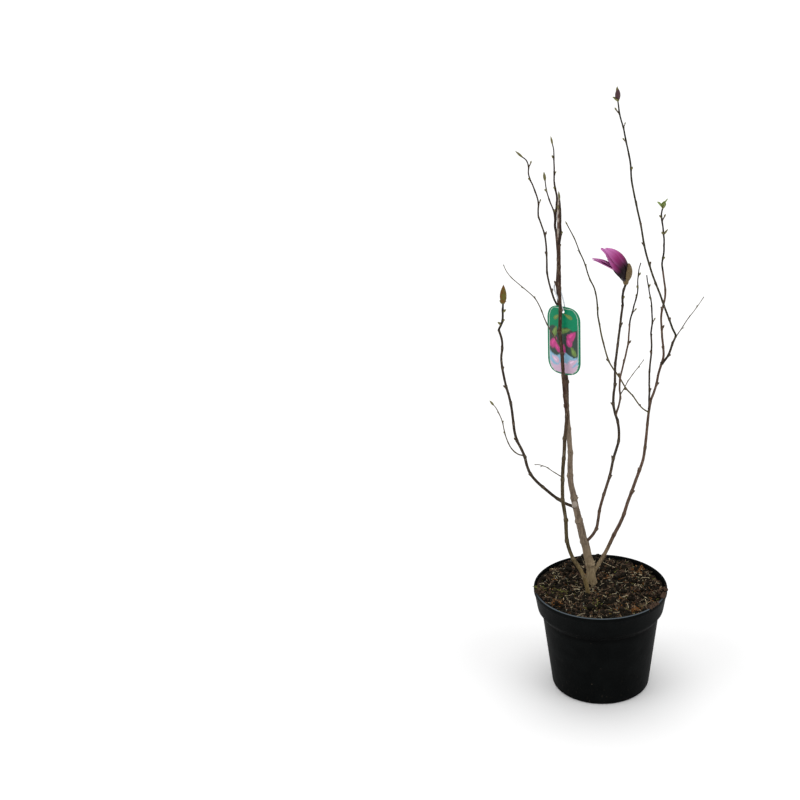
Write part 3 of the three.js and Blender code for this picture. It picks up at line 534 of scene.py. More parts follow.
class Course:
    """The course of a limb in millimetres: straight steps, two to an internode, that lean by the
    limb's own readings and turn a little at each node."""

    made = {}

    def __init__(self, name):
        self.limb = limb = LIMBS[name]
        self.nodes = max(2, math.floor(limb["length"] / limb["internode"] + 0.5))
        count = 2 * self.nodes
        along = (np.arange(count) + 0.5) / count
        bearing = np.radians(GOLDEN_TURN * (np.arange(count) // 2))
        self.steps = leaning(reading(limb["right"], along) + limb["turn"] * np.cos(bearing),
                             reading(limb["back"], along) + limb["turn"] * np.sin(bearing))
        self.goes_on = limb.get("at") == 1
        if "parent" in limb:
            parent = Course.of(limb["parent"])
            start = parent.place(limb["at"])
        else:
            start = np.array([*limb["start"], SOIL_LEVEL], float)
        self.before = parent.steps[-1] if self.goes_on else self.steps[0]
        travelled = np.cumsum(self.steps * limb["length"] / count, axis=0)
        self.points = np.concatenate([[start], start + travelled])
        self.tip, self.heading = self.points[-1], self.steps[-1]

    @classmethod
    def of(cls, name):
        if name not in cls.made:
            cls.made[name] = cls(name)
        return cls.made[name]

    def place(self, fraction):
        """The point on the straight steps at a fraction of the length."""
        spot = fraction * len(self.steps)
        low = min(int(spot), len(self.steps) - 1)
        return self.points[low] + (self.points[low + 1] - self.points[low]) * (spot - low)

    def smooth(self, fractions):
        """Points and directions of the curve that goes through the course's points."""
        first = self.points[0] - self.before * np.linalg.norm(self.points[1] - self.points[0])
        padded = np.concatenate([[first], self.points, [2 * self.points[-1] - self.points[-2]]])
        spot = np.asarray(fractions) * len(self.steps)
        low = np.clip(spot.astype(int), 0, len(self.steps) - 1)
        t = (spot - low)[:, None]
        a, b, c, d = (padded[low + k] for k in range(4))
        slopes = (c - a) + 2 * (2 * a - 5 * b + 4 * c - d) * t + 3 * (3 * b - a - 3 * c + d) * t ** 2
        return through(a, b, c, d, t), unit(slopes)

    def radius(self, fraction):
        return 0.5 * reading(self.limb["girth"], fraction)


# ---- The limbs' surface: lengths in millimetres, lifts as shares of the radius ----

SWELLING_LENGTH = 2.4
SCARS_AFTER_NODE = (1.3, 2.4)
SCAR_LENGTH, SCAR_LIFT = 0.45, 0.07
CUSHION_BEFORE_NODE, CUSHION_LENGTH, CUSHION_WIDTH, CUSHION_LIFT = 1.0, 1.5, 0.5, 0.34
LUMP_LENGTHS, LUMP_LIFT = (14, 46), 0.06
YOUNG_RADIUS, OLD_RADIUS = 1.6, 4.6
FLARE_HEIGHT, TRUNK_FLARE, STEM_FLARE = 13, 0.3, 0.25
COLLAR_LENGTH, COLLAR_LIFT = 2.2, 0.55
BELOW_SOIL = 14


def node_relief(course, wood, z, turn):
    """How far the bark is lifted by a swelling and two fine ring scars at each node and a cushion under
    each bud, all of them bell curves along the limb, and how much of a scar each point is."""
    lift, scarred = np.zeros((2, len(z), len(turn)))
    for k in range(1, course.nodes + (0 if course.goes_on else 1)):
        bearing = math.pi - math.radians(GOLDEN_TURN * k + 180)
        off = (z - k * course.limb["length"] / course.nodes)[:, None]
        swelling = np.exp(-(off / SWELLING_LENGTH) ** 2)
        scar = sum(np.exp(-((off - after) / SCAR_LENGTH) ** 2) for after in SCARS_AFTER_NODE)
        near = np.exp(-((turn - bearing + math.pi) % (2 * math.pi) - math.pi) ** 2 / CUSHION_WIDTH)
        cushion = near * np.exp(-((off + CUSHION_BEFORE_NODE) / CUSHION_LENGTH) ** 2)
        lift += wood.node_swelling * swelling + SCAR_LIFT * scar + CUSHION_LIFT * cushion
        scarred += 0.8 * scar + cushion
    return lift, np.clip(scarred, 0, 1)


def foot_relief(name, course, z, turn):
    """How far the foot spreads: in soft ribs over the soil, or as an even collar on a parent limb."""
    if "parent" not in course.limb:
        flare = np.exp(-np.maximum(z, -6) / FLARE_HEIGHT) * (TRUNK_FLARE if name == "trunk" else STEM_FLARE)
        return flare[:, None] * (1 + 0.35 * np.sin(3 * turn + 1.0) + 0.25 * np.sin(5 * turn))
    if course.goes_on:
        return 0.0
    return (COLLAR_LIFT * np.exp(-np.maximum(z - course.radius(0), 0) / COLLAR_LENGTH))[:, None]


def add_limb(build, name, wood, sides, below):
    """A limb round its smooth course, from "below" its foot to its tip. Its radius tapers evenly; on it
    stand the relief of nodes and foot, slow lumps, fine grain, and wandering ridges where it is old."""
    course = Course.of(name)
    length = course.limb["length"]
    z = np.linspace(-below, length, max(8, int((length + below) * MM / wood.ring_spacing)))
    share = np.clip(z / length, 0, 1)
    points, directions = course.smooth(share)
    points += directions * np.minimum(z, 0)[:, None]
    rng = np.random.default_rng(SEED + length)
    turn = turns(sides)
    radius = course.radius(share)[:, None]
    lift, scarred = node_relief(course, wood, z, turn)
    for k in (1, 2, 3, 4):
        wave, phase = rng.uniform(*LUMP_LENGTHS), rng.uniform(0, 6.28, 2)
        lumps = np.sin(k * turn + phase[0]) * np.sin(z[:, None] * 2 * math.pi / wave + phase[1]) / k
        lift += LUMP_LIFT * lumps
    old = np.clip((radius - YOUNG_RADIUS) / (OLD_RADIUS - YOUNG_RADIUS), 0, 1)
    wander = turn + 0.5 * np.sin(z[:, None] * 0.045 + rng.uniform(0, 6)) + 0.002 * z[:, None]
    ridges = sum(np.sin(k * wander + rng.uniform(0, 6) + 0.9 * np.sin(z[:, None] * 0.11 + k))
                 for k in (5, 8, 11))
    grain = rng.normal(0, 1, (len(z), sides))
    grain = grain + np.roll(grain, 1, 0) + np.roll(grain, -1, 0) + np.roll(grain, 1, 1)
    relief = (wood.ridge_depth / MM) * old * ridges + 0.03 * grain * (0.4 + old)
    wide = radius * (1 + lift + foot_relief(name, course, z, turn)) + relief
    points, quads, triangles = closed_form(tube(points, directions, wide, turn) * MM)
    scar = np.concatenate([scarred.ravel(), [scarred[0].mean(), scarred[-1].mean()]])
    build.add(points, quads, triangles, scar=scar)


# ---- Buds, crumbs and fibres ----

BUD_CLEARANCE = 3  # a bud that comes nearer to another limb is left out
CHILD_CLEARANCE = 9  # no bud stands nearer than this to a child limb
BUD_RADIUS = 1.3
SHORT_BUDS_FROM, SHORT_SCALE = 2.4, 0.75  # the limb's radius from which its buds are shorter
THIN_SCALE = 0.55  # of the buds on the thinnest twigs
SPUR_CHANCE = 0.3  # that a bud on a young twig has grown to a spur
SPUR_REACH, SPUR_RADIUS, SPUR_BUD_RADIUS = 8.0, 0.85, 1.1


def add_buds(build, feet, pointing, lengths, radii, sides=8, rows=7, point=1.0, bend=0.0, slot=0):
    """Pointed closed forms, all at once: from each foot along its direction, the radius follows a sine
    that starts wide and closes to a point, and the axis bends towards "bend"."""
    feet, pointing = np.atleast_2d(feet), np.atleast_2d(pointing)
    lengths, radii = np.atleast_1d(lengths), np.atleast_1d(radii)
    s = np.linspace(0, 1, rows)
    profile = np.sin(math.pi * (0.22 + 0.78 * s)) ** point
    profile[-1] = 0.03
    bend = bend * lengths[:, None] + np.zeros_like(pointing)
    axis = (feet[:, None, :] + s[None, :, None] * (lengths[:, None] * pointing)[:, None, :]
            + (s ** 2)[None, :, None] * bend[:, None, :])
    wide = (radii[:, None] * profile)[..., None]
    for rings in tube(axis, pointing[:, None, :], wide, turns(sides)):
        points, quads, triangles = closed_form(rings * MM)
        build.add(points, quads, triangles, slot)


def seeded(limb):
    """The limb's own run of random numbers, from its length, so each limb keeps its pattern."""
    state = int(limb["length"] * 7 + limb["internode"])
    while True:
        state = (state * 1664525 + 1013904223) % 2 ** 32
        yield state / 2 ** 32


def stands_clear(spot, own):
    """Whether a place keeps its distance from every limb but the one that it grows on."""
    for name, limb in LIMBS.items():
        if name == own or limb.get("parent") == own or LIMBS[own].get("parent") == name:
            continue
        course = Course.of(name)
        a, b = course.points[:-1], course.points[1:]
        t = np.clip(np.sum((spot - a) * (b - a), axis=1) / np.sum((b - a) ** 2, axis=1), 0, 1)
        away = np.linalg.norm(a + (b - a) * t[:, None] - spot, axis=1)
        if np.any(away < course.radius(np.arange(1, len(a) + 1) / len(a)) + BUD_CLEARANCE):
            return False
    return True


def bud_seats(name, spur_chance):
    """A limb's buds by the rule: at each node, alternate by the golden turn, unless a child limb is
    seated there or the bud would come near another limb. Each is a place, a direction, the limb's
    direction and radius, a size and whether it has grown to a spur."""
    course = Course.of(name)
    draws = seeded(course.limb)
    for k in range(1, course.nodes):
        scale, grown = 0.75 + 0.5 * next(draws), next(draws) < spur_chance
        fraction = k / course.nodes
        place, direction = (v[0] for v in course.smooth([fraction]))
        bearing = math.radians(GOLDEN_TURN * k + 180)
        outward = np.array([math.cos(bearing), math.sin(bearing), 0.0])
        outward = unit(outward - direction * outward.dot(direction))
        pointing = unit(0.8 * direction + 0.6 * outward)
        radius = course.radius(fraction)
        child = any(other.get("parent") == name
                    and abs(other["at"] - fraction) * course.limb["length"] < CHILD_CLEARANCE
                    for other in LIMBS.values())
        foot = place + outward * radius * 0.75
        if not child and stands_clear(foot + pointing * 5, name):
            yield foot, pointing, direction, radius, scale, grown


# ---- Thin blades: tepals, leaves, scales ----


def add_blade(build, foot, axis, blade, across, along, ruffle=0.0, chart_from=0.0):
    """A thin pointed sheet, whose half-width follows a sine along it and is wrapped on a circle across
    it. Its map runs across it from 0 to 1, and from "chart_from" at its foot to 1 at its tip."""
    bearing, length, width, opening, curl, wrap = blade
    u = np.linspace(0, 1, along)
    x = np.linspace(-1, 1, across)
    side, over = sides_of(np.asarray(axis))
    outward = math.cos(math.radians(bearing)) * side + math.sin(math.radians(bearing)) * over
    sideways = np.cross(outward, axis)
    heading = np.radians(opening + curl * u)
    step = length / (along - 1)
    middle = 0.5 * (heading[1:] + heading[:-1])
    out = np.concatenate([[0], np.cumsum(np.sin(middle) * step)])
    up = np.concatenate([[0], np.cumsum(np.cos(middle) * step)])
    half = 0.5 * width * np.sin(math.pi * (0.13 + 0.83 * u ** 1.2))
    half_wrap = math.radians(wrap) / 2
    bend = half[:, None] / half_wrap
    inward = bend * (1 - np.cos(x * half_wrap))
    inward = inward + ruffle * length * np.sin(9 * u[:, None] + 2 * x) * x ** 2
    spread = bend * np.sin(x * half_wrap)
    local_out = out[:, None] - inward * np.cos(heading)[:, None]
    local_up = up[:, None] + inward * np.sin(heading)[:, None]
    points = (np.asarray(foot) + local_out[..., None] * outward + local_up[..., None] * np.asarray(axis)
              + spread[..., None] * sideways)
    climb = chart_from + (1 - chart_from) * u[:, None]
    chart = np.stack(np.broadcast_arrays(0.5 * (x + 1), climb), axis=-1)
    build.add(points.reshape(-1, 3) * MM, grid_faces(along, across, False), UVMap=chart.reshape(-1, 2))


def thickened(build, name, material, thickness):
    """The blades as closed shells of one thickness, rounded by one step of subdivision."""
    piece = build.piece(name, [material])
    solidify = piece.modifiers.new("Thickness", "SOLIDIFY")
    solidify.thickness = thickness
    solidify.offset = 0.0
    smooth = piece.modifiers.new("Smooth", "SUBSURF")
    smooth.levels = smooth.render_levels = 1
    return piece


# ---- Materials ----

BARK_SHADOW = (0.34, 0.32, 0.30)  # the share of each colour that is left in a dark streak
SPLASH_SPACING, PORE_SPACING = 13.0, 3.1


def add_node(tree, kind, inputs=None, output=0, **settings):
    """Adds one node with its settings, sets or links its inputs, and gives one of its outputs. Where an
    input takes a colour, its three parts get an alpha of 1."""
    made = tree.nodes.new(kind)
    for key, value in settings.items():
        setattr(made, key, value)
    for key, value in (inputs or {}).items():
        socket = made.inputs[key]
        if isinstance(value, NodeSocket):
            tree.links.new(value, socket)
        else:
            socket.default_value = (*value, 1.0) if socket.type == "RGBA" else value
    return made.outputs[output]


def new_finish(name, roughness, **sockets):
    """A material with one shader, whose plain values are set on its own sockets."""
    material = bpy.data.materials.new(name)
    material.use_nodes = True
    tree = material.node_tree
    shader = tree.nodes["Principled BSDF"]
    shader.inputs["Roughness"].default_value = roughness
    for key, value in sockets.items():
        shader.inputs[key.replace("_", " ")].default_value = value
    return material, tree, shader


def lay(tree, ground, tone, reading, start=0.0, end=1.0, share=1.0, **settings):
    """Lays a colour over the ground: none of it where the reading is at its start, and the full share
    from the reading's end on. The share may itself be a reading."""
    limits = {"Value": reading, "From Min": start, "From Max": end, "To Max": share}
    cover = add_node(tree, "ShaderNodeMapRange", limits, **settings)
    return add_node(tree, "ShaderNodeMix", {0: cover, MIX_A: ground, MIX_B: tone}, MIX_OUT, data_type="RGBA")


def patches(tree, place, size_mm, detail, low, high):
    """A pattern of soft patches so many millimetres across: noise, stretched from low to high."""
    scale = 1 / (size_mm * MM)
    grain = add_node(tree, "ShaderNodeTexNoise", {"Vector": place, "Scale": scale, "Detail": detail})
    return add_node(tree, "ShaderNodeMapRange", {"Value": grain, "From Min": low, "From Max": high})


def coat(tree, shader, tone, height, depth_mm):
    """Gives the shader its colour, and a relief of so many millimetres that follows the height."""
    tree.links.new(tone, shader.inputs["Base Color"])
    relief = {"Height": height, "Distance": depth_mm * MM, "Strength": 1.0}
    tree.links.new(add_node(tree, "ShaderNodeBump", relief), shader.inputs["Normal"])


def shade(tone, share):
    return tuple(min(1.0, part * share) for part in tone)


def bark_finish(name, ground, pore, *changes):
    """Young bark: streaks along the limb in darker and lighter brown, pale pores and, where the mesh
    says that a bud or a ring has scarred it, a paler, rougher skin. Bark that changes on its way up goes
    over to another colour between two heights, as each change says. Dull, with hardly a gleam."""
    material, tree, shader = new_finish(name, 0.7, Specular_IOR_Level=0.2)
    place = add_node(tree, "ShaderNodeTexCoord", output="Object")
    height = add_node(tree, "ShaderNodeSeparateXYZ", {"Vector": place}, "Z")
    for tone, from_z, to_z in changes:
        ground = lay(tree, ground, tone, height, from_z, to_z)
    long = add_node(tree, "ShaderNodeMapping", {"Vector": place, "Scale": (1.0, 1.0, 0.22)})
    streak = patches(tree, long, 2.0, 4.0, 0.36, 0.64)
    cloud = patches(tree, place, 14.0, 2.0, 0.36, 0.64)
    pores = add_node(tree, "ShaderNodeTexVoronoi", {"Vector": long, "Scale": 1 / (PORE_SPACING * MM)})
    scar = add_node(tree, "ShaderNodeAttribute", output="Fac", attribute_name="scar")
    dark = add_node(tree, "ShaderNodeMix", {0: 1.0, MIX_A: ground, MIX_B: BARK_SHADOW}, MIX_OUT,
                    data_type="RGBA", blend_type="MULTIPLY")
    tone = lay(tree, dark, lay(tree, ground, pore, 0.16), streak)
    tone = lay(tree, tone, ground, cloud, share=0.6)
    tone = lay(tree, tone, pore, pores, 0.26, 0.10, 0.6)
    tone = lay(tree, tone, shade(pore, 0.6), scar, share=0.4)
    coat(tree, shader, tone, streak, 0.25)
    return material


def plain_growth(name, ground, roughness=0.6, spread=0.35, grain_mm=1.2, second=None, **sockets):
    """A living skin: one colour that drifts a little darker and lighter in small patches, or over to a
    second colour in larger ones."""
    material, tree, shader = new_finish(name, roughness, **sockets)
    place = add_node(tree, "ShaderNodeTexCoord", output="Object")
    small = patches(tree, place, grain_mm, 3.0, 0.35, 0.65)
    tone = lay(tree, shade(ground, 1 - spread), shade(ground, 1 + spread), small)
    if second is not None:
        tone = lay(tree, tone, second, patches(tree, place, 5 * grain_mm, 2.0, 0.42, 0.58))
    coat(tree, shader, tone, small, 0.15)
    return material


def tepal_finish(flower):
    """A tepal: near black at its foot, which is its own dark base together with painted shade under the
    upper tepals; magenta up its middle; pale lilac at its tip, and along its edges, which are partly its
    own pale edges and partly a painted highlight where they catch the light. Fine darker veins run up it.
    Waxy, with hardly any shine."""
    material, tree, shader = new_finish("tepal", 0.5, Specular_IOR_Level=0.12)
    chart = add_node(tree, "ShaderNodeUVMap", uv_map="UVMap")
    across, up = (add_node(tree, "ShaderNodeSeparateXYZ", {"Vector": chart}, part) for part in "XY")
    off = add_node(tree, "ShaderNodeMath", {0: across, 1: 0.5}, operation="SUBTRACT")
    away = add_node(tree, "ShaderNodeMath", {0: off}, operation="ABSOLUTE")
    fine = add_node(tree, "ShaderNodeMapping", {"Vector": chart, "Scale": (26.0, 1.6, 1.0)})
    vein = add_node(tree, "ShaderNodeTexNoise", {"Vector": fine, "Scale": 1.0, "Detail": 2.0})
    tone = lay(tree, flower.tepal, flower.tip, up, 0.62, 1.0, interpolation_type="SMOOTHSTEP")
    # Pale edges: partly the tepal's own, partly a painted highlight on its lit edges.
    tone = lay(tree, tone, flower.tip, away, 0.34, 0.5, 0.4)
    tone = lay(tree, tone, shade(flower.tepal, 0.5), vein, 0.42, 0.62, 0.3)
    # The dark foot: partly the tepal's own dark base, partly painted shade under the upper tepals.
    tone = lay(tree, flower.base, tone, up, 0.34, 0.74, interpolation_type="SMOOTHSTEP")
    coat(tree, shader, tone, vein, 0.3)
    return material


def peat_finish(pot):
    """Damp peat: dark brown in its clods, and near black where its fine relief is low, which is its own damp
    dark tone together with painted shade in the hollows. Rough, with hardly a gleam.
    """
    material, tree, shader = new_finish("damp_peat", 0.95, Specular_IOR_Level=0.15)
    place = add_node(tree, "ShaderNodeTexCoord", output="Object")
    clods = patches(tree, place, 9.0, 5.0, 0.38, 0.62)
    fine = patches(tree, place, 1.6, 4.0, 0.35, 0.65)
    # Near black where the fine relief is low: the peat's own dark tone, with painted shade in its hollows.
    tone = lay(tree, shade(pot.peat, 0.2), shade(pot.peat, 0.7), fine)
    tone = lay(tree, tone, shade(pot.crumb, 0.7), clods)
    coat(tree, shader, tone, fine, 1.2)
    return material


def plastic_finish(pot):
    """Black moulded plastic, dull from the mould: cloudy black with thin upright scuffs, small dried
    splashes and dust near the ground, painted shade in a dark band under the collar, and a painted
    highlight along the upper edge of the rim at the front."""
    material, tree, shader = new_finish("black_plastic", 0.55, Specular_IOR_Level=0.02)
    place = add_node(tree, "ShaderNodeTexCoord", output="Object")
    back, height = (add_node(tree, "ShaderNodeSeparateXYZ", {"Vector": place}, part) for part in "YZ")
    collar_foot = pot.height - pot.collar
    step_foot = collar_foot - pot.step
    cloud = patches(tree, place, 22.0, 4.0, 0.4, 0.75)
    upright = add_node(tree, "ShaderNodeMapping", {"Vector": place, "Scale": (1.0, 1.0, 0.15)})
    scuff = patches(tree, upright, 1.6, 2.0, 0.66, 0.8)
    splash = add_node(tree, "ShaderNodeTexVoronoi", {"Vector": place, "Scale": 1 / (SPLASH_SPACING * MM)})
    # Shares: of dust near the ground, of the painted shade under the collar's foot, of the painted highlight
    # on the rim at the front.
    limits = ((height, 0.045, 0.0, 0.5), (height, collar_foot, collar_foot - STEP_EDGE, 0.7),
              (back, -0.01, -0.06, 1.0))
    near_ground, painted_shade_under_collar, rim_highlight_at_front = (
        add_node(tree, "ShaderNodeMapRange", dict(zip(("Value", "From Min", "From Max", "To Max"), limit)))
        for limit in limits)
    tone = lay(tree, shade(pot.plastic, 0.7), shade(pot.plastic, 1.2), cloud)
    tone = lay(tree, tone, pot.dust, scuff, share=0.05)
    tone = lay(tree, tone, pot.dust, scuff, share=near_ground)
    tone = lay(tree, tone, pot.dust, splash, 0.055, 0.03)
    # Painted shade: the body's top and the step under the collar are darkened, where the collar's overhang
    # shades them.
    tone = lay(tree, tone, shade(pot.plastic, 0.15), height, step_foot - 0.008, step_foot - 0.001,
               painted_shade_under_collar)
    # Painted highlight: the rim's upper edge is lightened at the front, where it would catch the light.
    tone = lay(tree, tone, pot.rim, height, pot.height - 0.0006, pot.height - 0.0002, rim_highlight_at_front)
    coat(tree, shader, tone, cloud, 0.4)
    return material


# ---- The stage ----

FLOOR_HALF = 40.0  # m, so wide that its edge is out of sight

# The lights: how each is turned, in degrees, which strength it takes, and its spread in degrees.
LIGHTS = (
    ("top_light", (-8, 0, 0), "top", 60.0), ("left_light", (20, -48, 0), "side", 34.0),
    ("right_light", (20, 48, 0), "side", 34.0),
)


class MAGNOLIA_OT_stage(Operator):
    """Adds the pale floor, the soft light and the camera"""

    bl_idname = "magnolia.stage"
    bl_label = "Stage"

    def execute(self, context):
        stage = context.scene.magnolia_stage
        scene = context.scene
        floor = Build()
        corners = FLOOR_HALF * np.array([(-1, -1, 0), (1, -1, 0), (1, 1, 0), (-1, 1, 0)])
        floor.add(corners, np.array([[0, 1, 2, 3]]))
        # Studio paper: quite matt, so that it gives back light and no gleam.
        paper, _, shader = new_finish("studio_paper", 0.9, Specular_IOR_Level=0.0)
        shader.inputs["Base Color"].default_value = (*stage.floor, 1.0)
        floor.piece("floor", [paper])

        world = bpy.data.worlds.new("studio_light")
        world.use_nodes = True
        sky = world.node_tree.nodes["Background"].inputs
        sky["Color"].default_value, sky["Strength"].default_value = (1.0, 1.0, 1.0, 1.0), stage.sky
        scene.world = world
        for name, turn, strength, spread in LIGHTS:
            lamp = bpy.data.lights.new(name, "SUN")
            lamp.energy, lamp.angle = getattr(stage, strength), math.radians(spread)
            made = bpy.data.objects.new(name, lamp)
            made.rotation_euler = [math.radians(part) for part in turn]
            context.collection.objects.link(made)

        lens = bpy.data.cameras.new("camera")
        lens.sensor_width, lens.lens, lens.clip_end = 36.0, stage.lens, 100.0
        camera = bpy.data.objects.new("camera", lens)
        pan, tilt, roll = stage.pan, stage.tilt, stage.roll
        ahead = Vector((math.sin(pan) * math.cos(tilt), math.cos(pan) * math.cos(tilt), math.sin(tilt)))
        right = Vector((math.cos(pan), -math.sin(pan), 0))
        above = right.cross(ahead)
        turned_right = math.cos(roll) * right + math.sin(roll) * above
        turned_up = -math.sin(roll) * right + math.cos(roll) * above
        camera.rotation_euler = Matrix((turned_right, turned_up, -ahead)).transposed().to_euler()
        camera.location = (0, -stage.distance, stage.eye)
        context.collection.objects.link(camera)
        scene.camera = camera
        scene.view_settings.view_transform = "Standard"
        return {"FINISHED"}


# ---- The plant ----

# The healed knob on the trunk by the left bough's foot: how far up it is, how far off the trunk's axis,
# where it points and its size.
KNOB_AT, KNOB_OFF, KNOB_HEADING = 0.252, (-0.6, -3.9, -3.8), (0.05, -0.02, 1.0)
KNOB_LENGTH, KNOB_RADIUS = 9.0, 4.0

# The flower: how far its open tepals, its furled heart and its foot lean to the right and back, and how
# far up the foot's lean the first two start.
OPEN_LEAN, HEART_LEAN, FOOT_LEAN, BACK_LEAN = -43.0, -34.0, -2.0, -6.0
OPEN_LIFT, HEART_LIFT = 4.6, 2.3
RUFFLE = 0.012  # of a tepal's edges, as a share of its length


class MAGNOLIA_OT_boughs(Operator):
    """Adds the trunk and the boughs, with the relief of their bark"""

    bl_idname = "magnolia.boughs"
    bl_label = "Trunk and boughs"

    def execute(self, context):
        wood = context.scene.magnolia_wood
        pore = shade(wood.lichen, 0.8)
        # Each bark from its foot up: its first colour, then the colours that it goes over to and the
        # heights in metres between which it does.
        barks = {
            "brown": (wood.brown,), "olive": (wood.olive,), "whip": (wood.whip,),
            "stem": (wood.foot, (wood.stem, 0.175, 0.215)),
            "trunk": (wood.foot, (wood.grey, 0.17, 0.22), (wood.red, 0.39, 0.46)),
            "front": (wood.tan, (wood.green, 0.17, 0.22), (wood.red, 0.33, 0.43)),
            "flower": (wood.stem, (wood.brown, 0.27, 0.36)),
        }
        finishes = {tone: bark_finish(tone + "_bark", ground, pore, *changes)
                    for tone, (ground, *changes) in barks.items()}
        # Callus: pale healed wood, smoother than the bark and as dull.
        callus = plain_growth("callus", wood.callus, 0.7, 0.2, 2.0)
        for name, tone in BOUGHS.items():
            limb = LIMBS[name]
            build = Build()
            sides = int(np.clip(limb["girth"][0] * 5, 16, 36))
            add_limb(build, name, wood, sides, 0 if "parent" in limb else BELOW_SOIL)
            if name == "trunk":
                knob = Course.of("trunk").place(KNOB_AT) + KNOB_OFF
                bark_points = build.count
                add_buds(build, knob, KNOB_HEADING, KNOB_LENGTH, KNOB_RADIUS, 12, 9, 0.55, slot=1)
                build.values["scar"].append(np.zeros(build.count - bark_points))
            piece = build.piece(name + "_wood", [finishes[tone], callus])
            settle(piece, [name])
        return {"FINISHED"}


class MAGNOLIA_OT_twigs(Operator):
    """Adds the twigs of every mass, joined by the colour of their bark"""

    bl_idname = "magnolia.twigs"
    bl_label = "Twigs"

    def execute(self, context):
        wood = context.scene.magnolia_wood
        for tone, twigs in TWIGS.items():
            build = Build()
            for name in twigs:
                add_limb(build, name, wood, 14, 1 if Course.of(name).goes_on else 0)
            finish = bark_finish(tone + "_twig_bark", shade(getattr(wood, tone), 0.55),
                                 shade(wood.lichen, 0.35))
            settle(build.piece(tone + "_twigs", [finish]), twigs.values())
        return {"FINISHED"}


class MAGNOLIA_OT_buds(Operator):
    """Adds the buds and short spurs along every limb, the buds at the tips, and the young leaves"""

    bl_idname = "magnolia.buds"
    bl_label = "Buds"

    def execute(self, context):
        buds, wood = context.scene.magnolia_buds, context.scene.magnolia_wood
        builds = {kind: Build() for kind in ("brown", "green", "spurs", "furry", "maroon", "stub")}
        self.along_limbs(builds, buds)
        self.at_tips(builds, buds)
        masses = sorted({node for twigs in TWIGS.values() for node in twigs.values()})
        # Bud scales are dull; the furry ones hardly gleam at all, and the old stub is dry, bare wood.
        for kind, name, nodes, finish in (
                ("brown", "bough_buds", masses, plain_growth("brown_bud", buds.brown)),
                ("green", "leaf_buds", masses, plain_growth("green_bud", buds.green)),
                ("spurs", "spurs", masses, plain_growth("spur_bark", buds.brown)),
                ("furry", "furry_bud", ["left_tip_twigs"],
                 plain_growth("furry_scale", buds.furry, 0.9, 0.35, 0.8, buds.green,
                              Specular_IOR_Level=0.1)),
                ("maroon", "maroon_bud", ["tall_tip_twigs"],
                 plain_growth("maroon_bud", buds.maroon, 0.6, 0.3, 1.0)),
                ("stub", "old_stub", ["front_tip_twigs"],
                 plain_growth("stub_wood", wood.callus, 0.85, 0.35, 1.6, wood.stem))):
            settle(builds[kind].piece(name, [finish]), nodes)

        leaves, right = Build(), Course.of("right_tip")
        for blade in YOUNG_LEAVES:
            add_blade(leaves, right.tip - 1.5 * right.heading, right.heading, blade, 8, 10)
        leaf = plain_growth("young_leaf", buds.leaf, 0.55, 0.25)
        settle(thickened(leaves, "young_leaves", leaf, 0.0005), ["right_tip_twigs"])
        scales = Build()
        for name, blade in BUD_SCALES:
            twig = Course.of(name)
            add_blade(scales, twig.tip - 4.0 * twig.heading, twig.heading, blade, 7, 9)
        husk = plain_growth("bud_scale", buds.green, 0.8, 0.3, 1.2, buds.leaf)
        settle(thickened(scales, "bud_scales", husk, 0.0005), ["left_tip_twigs", "tall_tip_twigs"])
        return {"FINISHED"}

    @staticmethod
    def along_limbs(builds, buds):
        """The buds by the rule, brown on boughs and green on twigs, where some have grown to spurs."""
        young_limbs = {name for twigs in TWIGS.values() for name in twigs}
        thin_limbs = (*TWIGS["pale"], *TWIGS["whip"])
        for name in LIMBS:
            young = name in young_limbs
            seats = bud_seats(name, SPUR_CHANCE if young else 0)
            for foot, pointing, direction, radius, scale, grown in seats:
                scale = THIN_SCALE * scale if name in thin_limbs else scale
                if grown:
                    reach = SPUR_REACH * scale
                    add_buds(builds["spurs"], foot - pointing * 0.6, pointing, reach * 0.75,
                             SPUR_RADIUS * scale, 8, 8, 0.35)
                    add_buds(builds["green"], foot + pointing * (reach * 0.55),
                             unit(pointing + 0.5 * direction), reach * 0.5, SPUR_BUD_RADIUS * scale, 8, 8)
                else:
                    length = buds.leaf_bud / MM * scale * (1.0 if radius < SHORT_BUDS_FROM else SHORT_SCALE)
                    add_buds(builds["green" if young else "brown"], foot, pointing, length,
                             BUD_RADIUS * scale, bend=0.15 * direction)

    @staticmethod
    def at_tips(builds, buds):
        """The bud that each twig ends in, the stout ones beside the tips, the furry and the maroon
        flower bud with their green necks, and the old stub that stands in the fork at the top."""
        green = builds["green"]
        for name, (long, wide) in ENDS.items():
            twig = Course.of(name)
            add_buds(green, twig.tip - 1.5 * twig.heading, twig.heading, long, wide, 12, 12)
        for name, share, lean, long, wide in SIDE_BUDS:
            add_buds(green, Course.of(name).place(share), leaning(lean, 0.0), long, wide, 12, 9, 0.8)
        left, tall, front = Course.of("left_tip"), Course.of("tall_tip"), Course.of("front_tip")
        add_buds(builds["furry"], left.tip - 1.5 * left.heading, left.heading, buds.flower_bud / MM, 4.4,
                 20, 20, 0.9)
        add_buds(builds["maroon"], tall.tip - 0.5 * tall.heading, unit(tall.heading + (0.12, 0, 0)), 15, 3.5,
                 20, 16, 0.8)
        add_buds(green, tall.tip - 3.0 * tall.heading, tall.heading, 9, 1.9, 14, 9, 0.5)
        add_buds(green, tall.tip + 9.5 * tall.heading, unit(tall.heading + (0.2, 0, 0)), 7.5, 1.5, 12, 9)
        add_buds(green, left.tip - 2.5 * left.heading, left.heading, 9, 3.2, 16, 9, 0.6)
        add_buds(builds["stub"], front.place(0.1) + (-1.4, 0.6, 0.0), unit(front.tip - front.points[0]),
                 64, 2.1, 14, 14, 0.3)


